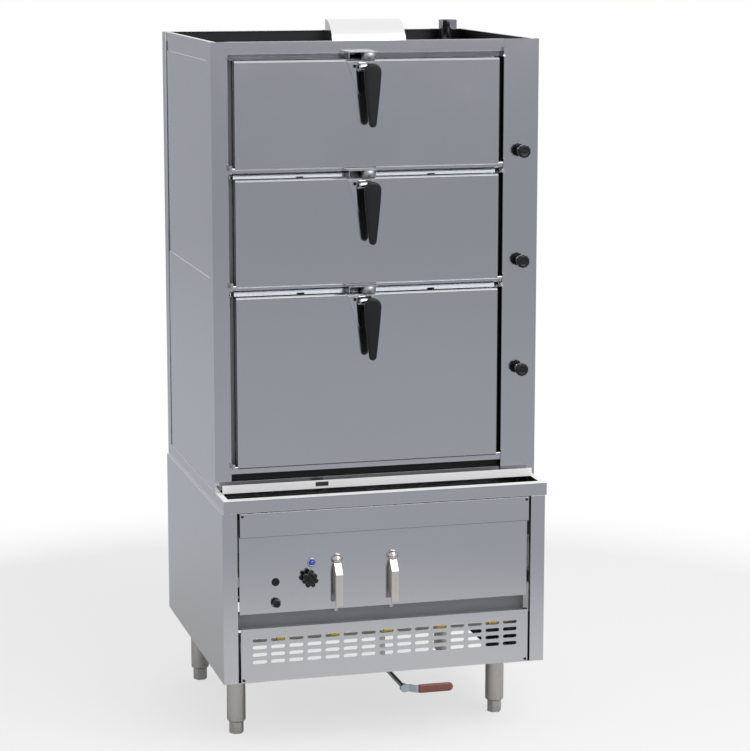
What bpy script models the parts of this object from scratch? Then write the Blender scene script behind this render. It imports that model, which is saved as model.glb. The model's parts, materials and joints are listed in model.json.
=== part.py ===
"""Three-door gas steam cabinet standing on a water-tank base, in metres, +Z up.

Lengths along Y are measured from the front plane of the upper cabinet, and heights from the floor.
The root empty then moves the whole object so that the middle of its footprint lies on the origin.
"""

import math

import bmesh
import bpy
from mathutils import Matrix, Vector

# Sheet metal and clearances
SHEET = 0.0015
HEAVY_SHEET = 0.002
CLEARANCE = 0.0003
WELD = 0.0007
OVERRUN = 0.005
HEM = 0.0115
MERGE = 0.00002
ROUND_PROFILE_SHARE = 0.5

# Overall layout
WIDTH = 0.900
SIDE_STEP = 0.0045
FRONT_OVERHANG = 0.110
UPPER_DEPTH = 0.700

# Legs and adjustable feet
LEG_INSET = 0.075
LEG_FRONT_Y = 0.095
LEG_REAR_INSET = 0.084
LEG_LENGTH = 0.170
LEG_RADIUS = 0.026
LEG_CHAMFER = 0.005
FOOT_HEIGHT = 0.033
FOOT_RADIUS = 0.0205
FOOT_STEM_RADIUS = 0.008
FOOT_STEM_LENGTH = 0.045
FOOT_BORE_SPARE = 0.006

# Base body
BODY_HEIGHT = 0.468
STILE_FACE = 0.040
BACK_FLANGE = 0.030
TOP_FLANGE = 0.009
LEG_FLANGE = 0.110
TAB_LAP = 0.0055
CONTROL_TAB_HEIGHT = 0.090
GRILLE_TAB_RISE = 0.0102
GRILLE_TAB_HEIGHT = 0.125

# Fascia, control panel and grille across the front of the base
FRONT_PANEL_MARGIN = 0.047
FRONT_PROUD = 0.002
PANEL_RECESS = 0.0124
PANEL_TOP_DROP = 0.021
PANEL_LOW_RISE = 0.1865
BAFFLE_DEPTH = 0.0276
BAFFLE_LOW_RISE = 0.137
FASCIA_HEIGHT = 0.0665
FASCIA_TOP_DROP = 0.0015
GRILLE_HEIGHT = 0.1477
SCREW_RADIUS = 0.0035
SCREW_PROUD = 0.0012
SCREW_INSET = 0.0068

# Louvre slots
SLOT_LENGTH = 0.040
SLOT_HEIGHT = 0.010
SLOT_PITCH_X = 0.0502
SLOT_PITCH_Z = 0.0203
SLOT_TOP_MARGIN = 0.0318
SLOT_COLUMNS = 15
SLOT_ROWS = 4

# Deck with the gutter, and the water tank
BAND_HEIGHT = 0.035
RIM_FRONT = 0.025
RIM_SIDE = 0.016
TROUGH_BACK_Y = 0.008
TROUGH_DEPTH = 0.060
OVERFLOW_OFFSET = -0.16725
OVERFLOW_WIDTH = 0.036
OVERFLOW_HEIGHT = 0.012
OVERFLOW_DROP = 0.010
OUTLET_OFFSET = 0.23775
OUTLET_RADIUS = 0.011
OUTLET_LENGTH = 0.028
TANK_FRONT_Y = 0.034
TANK_LENGTH = 0.536
TANK_DEPTH = 0.250
TANK_MARGIN = 0.010
TANK_FLANGE = 0.012

# Upper cabinet frame
LEFT_STILE = 0.0445
RIGHT_STILE = 0.098
SIDE_RETURN = 0.046
SEAL_PLANE_Y = 0.0263
SEAL_FLANGE = 0.037
BACK_RETURN = 0.045
PANEL_TUCK = 0.012
PANEL_STEP = 0.0015
LOWER_SEAM_RISE = 0.574
UPPER_SEAM_DROP = 0.051
HEAD_MARGIN = 0.0485
HEAD_FACE = 0.021
HEAD_RECESS = 0.015

# Doors
DOOR_LEFT_GAP = 0.0139
DOOR_RIGHT_GAP = 0.0194
BOTTOM_DOOR_RISE = 0.065
BOTTOM_DOOR_HEIGHT = 0.4635
UPPER_DOOR_HEIGHT = 0.2855
DOOR_SPACING = 0.0255
DOOR_PROUD = 0.020
DOOR_THICKNESS = 0.040
DOOR_SKIRT = 0.022
DOOR_TOP_BEVEL = 0.004
DOOR_LOW_BEVEL = 0.003
BEVEL_INSET_SHARE = 0.59
PLUG_INSET = 0.006
VENT_SLOT_LENGTH = 0.020
VENT_SLOT_WIDTH = 0.006
VENT_SLOT_SHARE = 0.5
SEAL_INSET = 0.002
SEAL_WIDTH = 0.010

# Door hinges
HINGE_INSET = 0.004
PIN_RADIUS = 0.003
EAR_THICKNESS = 0.006
EAR_NOSE = 0.006
EAR_HEIGHT = 0.014
EAR_DROP = 0.0015
EAR_LIFT = 0.003

# Rails between the doors
WEB_Y = 0.004
LIP_FRONT_Y = -0.014
LIP_GAP = 0.003
LIP_RISE = 0.013
WEB_TOP_LIFT = 0.0015
RAIL_FLANGE = 0.021
CHANNEL_Y = 0.022
CHANNEL_TOP_DROP = 0.018
CHANNEL_LOW_DROP = 0.039
APRON_Y = 0.009

# Door keepers above each door
KEEPER_LEFT = 0.058
KEEPER_RIGHT = 0.022
KEEPER_FRONT_Y = -0.034
KEEPER_PLATE = 0.0025
KEEPER_RISE = 0.0215
DRUM_RADIUS = 0.0195
DRUM_Y = -0.017
DRUM_GAP = 0.0018

# Door latches
LATCH_DROP = 0.018
LATCH_REACH = 0.022
LATCH_PLATE = 0.0025
LATCH_PLATE_RISE = 0.011
LATCH_PLATE_LENGTH = 0.086
LATCH_PLATE_HALF = 0.038
LATCH_TIP_RADIUS = 0.010
NECK_OFFSET = -0.020
NECK_WIDTH = 0.018
NECK_RADIUS = 0.009
NECK_ROOT_RISE = 0.004
LATCH_PIN_RADIUS = 0.004
BLADE_RISE = 0.010
BLADE_LENGTH = 0.168
BLADE_WIDTH = 0.040
BLADE_TIP_WIDTH = 0.019
BLADE_SHOULDER = 0.015
BLADE_THICKNESS = 0.012
BLADE_OFFSET = 0.017
BLADE_BEVEL = 0.0025
BOSS_RADIUS = 0.0085

# Compartments
LINER_BACK_GAP = 0.100
LINER_DROP = 0.006
SHELF_DROP = 0.004
SHELF_TURN = 0.018

# Steam riser with its valves and knobs
RISER_Y = 0.060
RISER_RADIUS = 0.0135
RISER_SPARE = 0.030
KNOB_LOW_RISE = 0.302
KNOB_PITCH_Z = 0.2985
VALVE_HALF = 0.016
VALVE_FRONT_Y = 0.030
NIPPLE_RADIUS = 0.009
NIPPLE_Y = 0.046
KNOB_RADIUS = 0.018
KNOB_THICKNESS = 0.016
KNOB_CHAMFER = 0.003
KNOB_STANDOFF = 0.022
KNOB_NECK_RADIUS = 0.009
KNOB_NECK_LENGTH = 0.008
SHAFT_RADIUS = 0.005
SHAFT_PLAY = 0.0015

# Flue and vent pipe
FLUE_OFFSET = 0.02975
FLUE_WIDTH = 0.220
FLUE_DEPTH = 0.090
FLUE_BACK_GAP = 0.004
FLUE_DROP = 0.226
HOOD_RISE = 0.031
HOOD_RADIUS = 0.085
HOOD_LIP = 0.002
VENT_INSET_X = 0.06475
VENT_INSET_Y = 0.060
VENT_RADIUS = 0.0265
VENT_RISE = 0.0275
VENT_HOLE_RADIUS = 0.020

# Gas train and burners
BURNER_OFFSET = 0.01625
BURNER_PITCH = 0.150
BURNER_COUNT = 5
BURNER_RISE = 0.100
BURNER_RADIUS = 0.015
BURNER_BORE = 0.012
BURNER_BORE_DEPTH = 0.060
BURNER_START_Y = -0.020
BURNER_END_Y = 0.450
CROSSBAR_FIRST_Y = 0.040
CROSSBAR_SECOND_Y = 0.400
CROSSBAR_WIDTH = 0.025
CROSSBAR_THICKNESS = 0.006
GAS_RAIL_Y = -0.050
GAS_RAIL_RADIUS = 0.010
JET_RADIUS = 0.006
JET_LENGTH = 0.022
FEED_INSET = 0.05225
PIPE_RADIUS = 0.008
GAS_KNOB_ALONG = 0.18975
GAS_KNOB_RISE = 0.0905
GAS_VALVE_HALF = 0.020
GAS_VALVE_FRONT_Y = -0.090
GAS_VALVE_BACK_Y = -0.040
STAR_RADIUS = 0.018
STAR_LOBE = 0.004
STAR_POINTS = 7
STAR_STEPS = 42
STAR_THICKNESS = 0.015
STAR_STANDOFF = 0.0125
STAR_HUB_RADIUS = 0.012

# Buttons and indicator
BUTTON_ALONG = 0.09885
SWITCH_RISE = 0.085
SWITCH_RADIUS = 0.010
SWITCH_PROUD = 0.001
IGNITER_RISE = 0.0285
IGNITER_RADIUS = 0.011
IGNITER_PROUD = 0.013
IGNITER_STEM_RADIUS = 0.008
BUTTON_TRAVEL = 0.003
BUTTON_COLLAR = 0.002
BUTTON_COLLAR_DEPTH = 0.004
LAMP_ALONG = 0.19865
LAMP_RISE = 0.1325
LAMP_RADIUS = 0.0125
LAMP_BODY_RADIUS = 0.010
LAMP_BEZEL = 0.003
LAMP_DOME = 0.004
LAMP_FLAT_SHARE = 0.5
LAMP_DEPTH = 0.022

# Lever taps
TAP_ALONG = 0.26775
TAP_PITCH = 0.155
TAP_RISE = 0.1375
TAP_HUB_RADIUS = 0.016
TAP_HUB_DEPTH = 0.016
TAP_LEVER_ROOT = 0.008
TAP_LEVER_LENGTH = 0.125
TAP_LEVER_WIDTH = 0.020
TAP_LEVER_THICKNESS = 0.008
TAP_LEVER_REACH = 0.033
TAP_LEVER_SLOPE = 0.016
TAP_SHAFT_RADIUS = 0.006
TAP_BODY_HALF = 0.018
TAP_BODY_FRONT_Y = -0.092
TAP_BODY_BACK_Y = -0.056
SPOUT_Y = -0.083
SPOUT_RADIUS = 0.0075
SPOUT_LOW_Z = 0.380

# Drain valve and lever
DRAIN_OFFSET = 0.05075
DRAIN_DROP = 0.048
DRAIN_VALVE_Y = 0.130
DRAIN_VALVE_HALF = 0.018
DRAIN_PIPE_RADIUS = 0.011
DRAIN_OUTLET_LENGTH = 0.030
DRAIN_HUB_FRONT_Y = -0.115
DRAIN_HUB_RADIUS = 0.0115
DRAIN_HUB_LENGTH = 0.011
DRAIN_STEM_RADIUS = 0.00625
DRAIN_NUT_RADIUS = 0.0085
DRAIN_NUT_LENGTH = 0.012
DRAIN_PLATE = 0.003
DRAIN_PLATE_WIDTH = 0.020
DRAIN_CRANK_START = 0.014
DRAIN_CRANK_END = 0.028
DRAIN_CRANK = 0.015
DRAIN_PLATE_LENGTH = 0.060
GRIP_START = 0.036
GRIP_END = 0.133
GRIP_WIDTH = 0.020
GRIP_THICKNESS = 0.012

# Places worked out from the sizes above
BASE_CENTRE_X = -SIDE_STEP / 2
UPPER_CENTRE_X = SIDE_STEP / 2
BASE_LEFT_X = BASE_CENTRE_X - WIDTH / 2
BASE_RIGHT_X = BASE_CENTRE_X + WIDTH / 2
UPPER_LEFT_X = UPPER_CENTRE_X - WIDTH / 2
UPPER_RIGHT_X = UPPER_CENTRE_X + WIDTH / 2
BODY_BOTTOM_Z = FOOT_HEIGHT + LEG_LENGTH
BODY_TOP_Z = BODY_BOTTOM_Z + BODY_HEIGHT
GRILLE_LOW_Z = BODY_BOTTOM_Z + SHEET + CLEARANCE
DECK_Z = BODY_TOP_Z + BAND_HEIGHT
BASE_FRONT_Y = -FRONT_OVERHANG
BACK_Y = UPPER_DEPTH
LEG_REAR_Y = BACK_Y - LEG_REAR_INSET
PANEL_LEFT_X = BASE_LEFT_X + FRONT_PANEL_MARGIN
PANEL_RIGHT_X = BASE_RIGHT_X - FRONT_PANEL_MARGIN
PANEL_TOP_Z = BODY_TOP_Z - PANEL_TOP_DROP
PANEL_LOW_Z = BODY_BOTTOM_Z + PANEL_LOW_RISE
BAFFLE_LOW_Z = BODY_BOTTOM_Z + BAFFLE_LOW_RISE
FASCIA_TOP_Z = BODY_TOP_Z - FASCIA_TOP_DROP
FASCIA_LOW_Z = FASCIA_TOP_Z - FASCIA_HEIGHT
GRILLE_TOP_Z = GRILLE_LOW_Z + GRILLE_HEIGHT
SLOT_TOP_ROW_Z = GRILLE_TOP_Z - SLOT_TOP_MARGIN
BUTTON_X = PANEL_LEFT_X + BUTTON_ALONG
LAMP_X = PANEL_LEFT_X + LAMP_ALONG
GAS_KNOB_X = PANEL_LEFT_X + GAS_KNOB_ALONG
TAP_LEFT_X = PANEL_LEFT_X + TAP_ALONG
SWITCH_Z = PANEL_LOW_Z + SWITCH_RISE
IGNITER_Z = PANEL_LOW_Z + IGNITER_RISE
LAMP_Z = PANEL_LOW_Z + LAMP_RISE
GAS_KNOB_Z = PANEL_LOW_Z + GAS_KNOB_RISE
TAP_Z = PANEL_LOW_Z + TAP_RISE
FEED_X = BASE_LEFT_X + FEED_INSET
BURNER_X = BASE_CENTRE_X + BURNER_OFFSET
BURNER_Z = BODY_BOTTOM_Z + BURNER_RISE
DRAIN_X = BASE_CENTRE_X + DRAIN_OFFSET
DRAIN_Z = BODY_BOTTOM_Z - DRAIN_DROP
OVERFLOW_X = UPPER_CENTRE_X + OVERFLOW_OFFSET
OUTLET_X = UPPER_CENTRE_X + OUTLET_OFFSET
FLUE_LEFT_X = UPPER_CENTRE_X + FLUE_OFFSET
FLUE_BACK_Y = BACK_Y - FLUE_BACK_GAP
FLUE_FRONT_Y = FLUE_BACK_Y - FLUE_DEPTH
FLUE_LOW_Z = DECK_Z - FLUE_DROP
VENT_X = UPPER_RIGHT_X - VENT_INSET_X
VENT_Y = BACK_Y - VENT_INSET_Y
PANEL_Y = BASE_FRONT_Y + PANEL_RECESS
PANEL_BACK_Y = PANEL_Y + SHEET
TAB_FRONT_Y = PANEL_BACK_Y + CLEARANCE
STILE_RETURN_Y = TAB_FRONT_Y + SHEET
FASCIA_Y = BASE_FRONT_Y - FRONT_PROUD
BAFFLE_Y = PANEL_Y + BAFFLE_DEPTH
TROUGH_FRONT_Y = BASE_FRONT_Y + RIM_FRONT
OPENING_LEFT_X = UPPER_LEFT_X + LEFT_STILE
OPENING_RIGHT_X = UPPER_RIGHT_X - RIGHT_STILE
DOOR_LEFT_X = OPENING_LEFT_X + DOOR_LEFT_GAP
DOOR_RIGHT_X = OPENING_RIGHT_X - DOOR_RIGHT_GAP
DOOR_WIDTH = DOOR_RIGHT_X - DOOR_LEFT_X
DOOR_CENTRE_X = (DOOR_LEFT_X + DOOR_RIGHT_X) / 2
BOTTOM_DOOR_Z = DECK_Z + BOTTOM_DOOR_RISE
CHANNEL_TOP_Z = BOTTOM_DOOR_Z - CHANNEL_TOP_DROP
CHANNEL_LOW_Z = BOTTOM_DOOR_Z - CHANNEL_LOW_DROP
MIDDLE_DOOR_Z = BOTTOM_DOOR_Z + BOTTOM_DOOR_HEIGHT + DOOR_SPACING
TOP_DOOR_Z = MIDDLE_DOOR_Z + UPPER_DOOR_HEIGHT + DOOR_SPACING
TOP_DOOR_TOP_Z = TOP_DOOR_Z + UPPER_DOOR_HEIGHT
TOP_Z = TOP_DOOR_TOP_Z + HEAD_MARGIN
LOWER_SEAM_Z = DECK_Z + LOWER_SEAM_RISE
UPPER_SEAM_Z = TOP_Z - UPPER_SEAM_DROP
KNOB_LOW_Z = DECK_Z + KNOB_LOW_RISE
HINGE_Y = -DOOR_PROUD + HINGE_INSET
LATCH_Y = -DOOR_PROUD - LATCH_REACH
LINER_LEFT_X = OPENING_LEFT_X + SEAL_FLANGE - SHEET
LINER_RIGHT_X = OPENING_RIGHT_X - SEAL_FLANGE + SHEET
LINER_FRONT_Y = SEAL_PLANE_Y + SHEET + CLEARANCE
LINER_TOP_Z = TOP_DOOR_TOP_Z - LINER_DROP
LINER_BACK_Y = BACK_Y - LINER_BACK_GAP
TANK_BACK_Y = TANK_FRONT_Y + TANK_LENGTH
TANK_LEFT_X = LINER_LEFT_X + SHEET
TANK_RIGHT_X = LINER_RIGHT_X - SHEET
TANK_TOP_Z = DECK_Z - HEAVY_SHEET - CLEARANCE
TANK_BOTTOM_Z = TANK_TOP_Z - TANK_DEPTH
KNOB_X = (OPENING_RIGHT_X + UPPER_RIGHT_X) / 2
HOOD_TOP_Z = TOP_Z + HOOD_RISE
TAP_FRONT_Y = PANEL_Y - TAP_LEVER_REACH
GRIP_FRONT_Y = DRAIN_HUB_FRONT_Y - DRAIN_CRANK + DRAIN_PLATE / 2 - GRIP_THICKNESS / 2
FOREMOST_Y = min(TAP_FRONT_Y, GRIP_FRONT_Y)

DOORS = (
    ("top", TOP_DOOR_Z, UPPER_DOOR_HEIGHT),
    ("middle", MIDDLE_DOOR_Z, UPPER_DOOR_HEIGHT),
    ("bottom", BOTTOM_DOOR_Z, BOTTOM_DOOR_HEIGHT),
)

# Finishes: base colour, roughness and metallic value
FINISHES = {
    "bright_steel": ((0.62, 0.63, 0.66), 0.14, 1.0),
    "satin_steel": ((0.55, 0.54, 0.52), 0.36, 1.0),
    "chrome": ((0.78, 0.78, 0.78), 0.08, 1.0),
    "dark_inside": ((0.20, 0.20, 0.21), 0.40, 1.0),
    "brass": ((0.78, 0.58, 0.25), 0.28, 1.0),
    "burner_iron": ((0.16, 0.15, 0.14), 0.65, 0.6),
    "black_plastic": ((0.018, 0.019, 0.021), 0.38, 0.0),
    "seal_rubber": ((0.03, 0.03, 0.03), 0.70, 0.0),
    "blue_lens": ((0.10, 0.14, 0.75), 0.12, 0.0),
    "red_vinyl": ((0.24, 0.075, 0.055), 0.45, 0.0),
}

ROUND_SIDES = 24
PIPE_SIDES = 16
SMALL_SIDES = 12
ARC_STEPS = 6
SHARP_ANGLE = math.radians(32)


def clear_scene():
    """Remove every object that the file starts with."""
    for item in list(bpy.data.objects):
        bpy.data.objects.remove(item)


def link_mesh(bm):
    """Turn a bmesh into an object of the scene, with its faces pointing out."""
    bmesh.ops.recalc_face_normals(bm, faces=bm.faces)
    mesh = bpy.data.meshes.new("piece")
    bm.to_mesh(mesh)
    bm.free()
    piece = bpy.data.objects.new("piece", mesh)
    bpy.context.scene.collection.objects.link(piece)
    return piece


def plane_point(axis, u, v, w):
    """Give the point at u, v in the plane across an axis, and at w along it."""
    if axis == "X":
        return Vector((w, u, v))
    if axis == "Y":
        return Vector((u, w, v))
    return Vector((u, v, w))


def add_prism(bm, outline, axis, start, end):
    """Add a straight prism with the given outline to a bmesh."""
    ends = []
    for place in (start, end):
        ends.append([bm.verts.new(plane_point(axis, u, v, place)) for u, v in outline])
    count = len(outline)
    bm.faces.new(ends[0])
    bm.faces.new(ends[1])
    for i in range(count):
        j = (i + 1) % count
        bm.faces.new((ends[0][i], ends[0][j], ends[1][j], ends[1][i]))


def prism(outline, axis, start, end):
    """Make a prism along an axis."""
    bm = bmesh.new()
    add_prism(bm, outline, axis, start, end)
    return link_mesh(bm)


def box(x, y, z):
    """Make a box from its two limits along each axis."""
    outline = [(x[0], y[0]), (x[1], y[0]), (x[1], y[1]), (x[0], y[1])]
    return prism(outline, "Z", z[0], z[1])


def rod(axis, centre, start, end, radius, sides=ROUND_SIDES):
    """Make a cylinder along an axis; centre holds the other two coordinates."""
    outline = arc(centre, radius, 0, 360, sides)[:-1]
    return prism(outline, axis, start, end)


def arc(centre, radius, first, last, steps):
    """Give the points of an arc between two angles in degrees."""
    points = []
    for i in range(steps + 1):
        angle = math.radians(first + (last - first) * i / steps)
        points.append((centre[0] + radius * math.cos(angle), centre[1] + radius * math.sin(angle)))
    return points


def turned(profile, sides=ROUND_SIDES):
    """Turn a profile of (radius, height) points round the Z axis."""
    bm = bmesh.new()
    verts = [bm.verts.new((radius, 0, height)) for radius, height in profile]
    edges = [bm.edges.new((verts[i], verts[(i + 1) % len(verts)])) for i in range(len(verts))]
    bmesh.ops.spin(bm, geom=verts + edges, cent=(0, 0, 0), axis=(0, 0, 1),
                   angle=math.tau, steps=sides, use_merge=True)
    bmesh.ops.remove_doubles(bm, verts=bm.verts, dist=MERGE)
    loose = [edge for edge in bm.edges if not edge.link_faces]
    bmesh.ops.delete(bm, geom=loose, context="EDGES")
    return link_mesh(bm)


def facing_front(piece, centre):
    """Aim a turned piece's +Z end at the viewer, and move its foot to a centre."""
    piece.data.transform(Matrix.Translation(centre) @ Matrix.Rotation(math.pi / 2, 4, "X"))
    return piece


def folded(path, thickness):
    """Give the outline of a folded sheet: the path, and the path moved to its left."""
    moved = []
    for i, point in enumerate(path):
        here = Vector(point)
        before = (here - Vector(path[i - 1])).normalized() if i > 0 else None
        after = (Vector(path[i + 1]) - here).normalized() if i < len(path) - 1 else None
        if before is None:
            before = after
        if after is None:
            after = before
        left_before = Vector((-before.y, before.x))
        left_after = Vector((-after.y, after.x))
        corner = (left_before + left_after) / (1 + left_before.dot(left_after))
        moved.append(tuple(here + corner * thickness))
    return list(path) + moved[::-1]


def combine(main, others, operation):
    """Join solids to a piece, or cut them out of it."""
    for other in others:
        modifier = main.modifiers.new("combine", "BOOLEAN")
        modifier.object = other
        modifier.operation = operation
        modifier.solver = "EXACT"
    depsgraph = bpy.context.evaluated_depsgraph_get()
    shaped = bpy.data.meshes.new_from_object(main.evaluated_get(depsgraph))
    main.modifiers.clear()
    main.data = shaped
    for other in others:
        bpy.data.objects.remove(other)
    return main


def join(main, *others):
    """Weld solids to a piece."""
    return combine(main, others, "UNION")


def cut(main, *others):
    """Cut solids out of a piece."""
    return combine(main, others, "DIFFERENCE")


def soften(piece, width, segments, keep):
    """Bevel the edges that the keep test picks."""
    bm = bmesh.new()
    bm.from_mesh(piece.data)
    edges = [edge for edge in bm.edges if keep(edge)]
    bmesh.ops.bevel(bm, geom=edges, offset=width, segments=segments, affect="EDGES", profile=ROUND_PROFILE_SHARE)
    bm.to_mesh(piece.data)
    bm.free()
    return piece


def empty(name, place, parent=None):
    """Make an empty that carries pieces."""
    holder = bpy.data.objects.new(name, None)
    holder.location = place
    holder.parent = parent
    bpy.context.scene.collection.objects.link(holder)
    return holder


def make_material(name, finish):
    """Make a piece's own material."""
    colour, roughness, metallic = FINISHES[finish]
    material = bpy.data.materials.new(name)
    material.use_nodes = True
    shader = material.node_tree.nodes["Principled BSDF"]
    shader.inputs["Base Color"].default_value = (*colour, 1.0)
    shader.inputs["Roughness"].default_value = roughness
    shader.inputs["Metallic"].default_value = metallic
    return material


def name_piece(piece, name, finish, parent, place=(0, 0, 0)):
    """Name a finished piece, give it its material, and hang it on its parent."""
    piece.name = name
    piece.data.name = name
    piece.data.materials.clear()
    piece.data.materials.append(make_material(name, finish))
    piece.data.shade_smooth()
    piece.data.set_sharp_from_angle(angle=SHARP_ANGLE)
    piece.parent = parent
    piece.location = place
    return piece


def build_legs(root):
    """Tube legs under the base, each with an adjustable hexagon foot on its screw."""
    for row, y in (("front", LEG_FRONT_Y), ("rear", LEG_REAR_Y)):
        for hand, side in (("left", -1), ("right", 1)):
            x = BASE_CENTRE_X + side * (WIDTH / 2 - LEG_INSET)
            low = FOOT_HEIGHT + CLEARANCE
            high = BODY_BOTTOM_Z - CLEARANCE
            bore_top = FOOT_HEIGHT + FOOT_STEM_LENGTH + FOOT_BORE_SPARE
            bore = FOOT_STEM_RADIUS + CLEARANCE
            leg = turned([
                (0, bore_top), (bore, bore_top), (bore, low), (LEG_RADIUS - LEG_CHAMFER, low),
                (LEG_RADIUS, low + LEG_CHAMFER), (LEG_RADIUS, high), (0, high),
            ])
            name_piece(leg, f"leg_{row}_{hand}", "satin_steel", root, (x, y, 0))
            holder = empty(f"foot_{row}_{hand}_slide", (x, y, 0), root)
            foot = rod("Z", (0, 0), 0, FOOT_HEIGHT, FOOT_RADIUS, 6)
            stem_top = FOOT_HEIGHT + FOOT_STEM_LENGTH
            join(foot, rod("Z", (0, 0), FOOT_HEIGHT - WELD, stem_top, FOOT_STEM_RADIUS, PIPE_SIDES))
            name_piece(foot, f"foot_{row}_{hand}", "satin_steel", holder)


def build_base_sides(root):
    """Folded side panels of the base, with the front stiles and the leg flanges."""
    for hand, side, outer in (("left", -1, BASE_LEFT_X), ("right", 1, BASE_RIGHT_X)):
        inner = outer - side * STILE_FACE
        path = [
            (outer - side * BACK_FLANGE, BACK_Y), (outer, BACK_Y), (outer, BASE_FRONT_Y),
            (inner, BASE_FRONT_Y), (inner, STILE_RETURN_Y),
        ]
        top = BODY_TOP_Z - CLEARANCE
        panel = prism(folded(path, -side * SHEET), "Z", BODY_BOTTOM_Z, top)
        inside = outer - side * WELD
        depth = (BASE_FRONT_Y + WELD, BACK_Y - WELD)
        tab_end = outer - side * (FRONT_PANEL_MARGIN + TAB_LAP)
        tab_x = sorted((inner + side * WELD, tab_end))
        tab_y = (TAB_FRONT_Y, STILE_RETURN_Y)
        join(panel, box(sorted((inside, outer - side * TOP_FLANGE)), depth, (top - SHEET, top)))
        join(panel, box(sorted((inside, outer - side * LEG_FLANGE)), depth,
                        (BODY_BOTTOM_Z, BODY_BOTTOM_Z + SHEET)))
        join(panel, box(tab_x, tab_y, (PANEL_TOP_Z - CONTROL_TAB_HEIGHT, PANEL_TOP_Z)))
        tab_low = GRILLE_LOW_Z + GRILLE_TAB_RISE
        join(panel, box(tab_x, tab_y, (tab_low, tab_low + GRILLE_TAB_HEIGHT)))
        name_piece(panel, f"base_{hand}_side", "bright_steel", root)


def build_base_back(root):
    """Back panel of the base, inside the side panels' flanges, with the gas pipe's hole."""
    back = BACK_Y - SHEET - CLEARANCE
    gap = SHEET + CLEARANCE
    panel = box((BASE_LEFT_X + gap, BASE_RIGHT_X - gap), (back - SHEET, back),
                (GRILLE_LOW_Z, BODY_TOP_Z - gap - CLEARANCE))
    hole = PIPE_RADIUS + CLEARANCE
    cut(panel, rod("Y", (FEED_X, BURNER_Z), back - OVERRUN, back + OVERRUN, hole, PIPE_SIDES))
    name_piece(panel, "base_back_panel", "satin_steel", root)


def build_deck(root):
    """Deck of the base: rim, skirt, gutter trough in front, and openings for tank, flue and vent."""
    x = (UPPER_LEFT_X, UPPER_RIGHT_X)
    y = (BASE_FRONT_Y, BACK_Y)
    deck = box(x, y, (BODY_TOP_Z, DECK_Z))
    cut(deck, box((x[0] + SHEET, x[1] - SHEET), (y[0] + SHEET, y[1] - SHEET),
                  (BODY_TOP_Z - OVERRUN, DECK_Z - HEAVY_SHEET)))
    trough_x = (x[0] + RIM_SIDE, x[1] - RIM_SIDE)
    trough_y = (TROUGH_FRONT_Y, TROUGH_BACK_Y)
    floor = DECK_Z - TROUGH_DEPTH
    join(deck, box((trough_x[0] - SHEET, trough_x[1] + SHEET), (trough_y[0] - SHEET, trough_y[1] + SHEET),
                   (floor - SHEET, DECK_Z - WELD)))
    outlet = (OUTLET_X, (TROUGH_FRONT_Y + TROUGH_BACK_Y) / 2)
    join(deck, rod("Z", outlet, floor - OUTLET_LENGTH, floor - WELD, OUTLET_RADIUS, PIPE_SIDES))
    above = DECK_Z + OVERRUN
    cut(deck, box(trough_x, trough_y, (floor, above)))
    cut(deck, rod("Z", outlet, floor - OUTLET_LENGTH - OVERRUN, floor + OVERRUN,
                  OUTLET_RADIUS - SHEET, PIPE_SIDES))
    below = DECK_Z - HEAVY_SHEET - OVERRUN
    gap = CLEARANCE
    cut(deck, box((TANK_LEFT_X, TANK_RIGHT_X), (TANK_FRONT_Y, TANK_BACK_Y), (below, above)))
    cut(deck, box((FLUE_LEFT_X - gap, FLUE_LEFT_X + FLUE_WIDTH + gap),
                  (FLUE_FRONT_Y - gap, FLUE_BACK_Y + gap), (below, above)))
    cut(deck, rod("Z", (VENT_X, VENT_Y), below, above, VENT_HOLE_RADIUS))
    slot_top = DECK_Z - OVERFLOW_DROP
    cut(deck, box((OVERFLOW_X - OVERFLOW_WIDTH / 2, OVERFLOW_X + OVERFLOW_WIDTH / 2),
                  (TROUGH_FRONT_Y - OVERRUN, TROUGH_FRONT_Y + OVERRUN),
                  (slot_top - OVERFLOW_HEIGHT, slot_top)))
    name_piece(deck, "gutter_deck", "bright_steel", root)


def build_tank(root):
    """Open water tank that hangs by its flange under the deck."""
    x = (TANK_LEFT_X - TANK_MARGIN, TANK_RIGHT_X + TANK_MARGIN)
    y = (TANK_FRONT_Y - TANK_MARGIN, TANK_BACK_Y + TANK_MARGIN)
    tank = box(x, y, (TANK_BOTTOM_Z, TANK_TOP_Z - WELD))
    join(tank, box((x[0] - TANK_FLANGE, x[1] + TANK_FLANGE), (y[0] - TANK_FLANGE, y[1] + TANK_FLANGE),
                   (TANK_TOP_Z - HEAVY_SHEET, TANK_TOP_Z)))
    wall = HEAVY_SHEET
    cut(tank, box((x[0] + wall, x[1] - wall), (y[0] + wall, y[1] - wall),
                  (TANK_BOTTOM_Z + wall, TANK_TOP_Z + OVERRUN)))
    drain = (DRAIN_X, DRAIN_VALVE_Y)
    cut(tank, rod("Z", drain, TANK_BOTTOM_Z - OVERRUN, TANK_BOTTOM_Z + OVERRUN,
                  DRAIN_PIPE_RADIUS - SHEET, PIPE_SIDES))
    name_piece(tank, "water_tank", "dark_inside", root)


def screw_head(x, z, y):
    """A low screw head on the front of a panel."""
    return rod("Y", (x, z), y - SCREW_PROUD, y + WELD, SCREW_RADIUS, SMALL_SIDES)


def build_fascia(root):
    """Fascia strip with its top and bottom returns and two screws."""
    x = (PANEL_LEFT_X, PANEL_RIGHT_X)
    back = PANEL_Y - CLEARANCE
    path = [(back, FASCIA_TOP_Z), (FASCIA_Y, FASCIA_TOP_Z), (FASCIA_Y, FASCIA_LOW_Z), (back, FASCIA_LOW_Z)]
    fascia = prism(folded(path, SHEET), "X", x[0], x[1])
    for end, side in zip(x, (1, -1)):
        join(fascia, screw_head(end + side * SCREW_INSET, FASCIA_TOP_Z - SCREW_INSET, FASCIA_Y))
    name_piece(fascia, "fascia_strip", "bright_steel", root)


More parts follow.
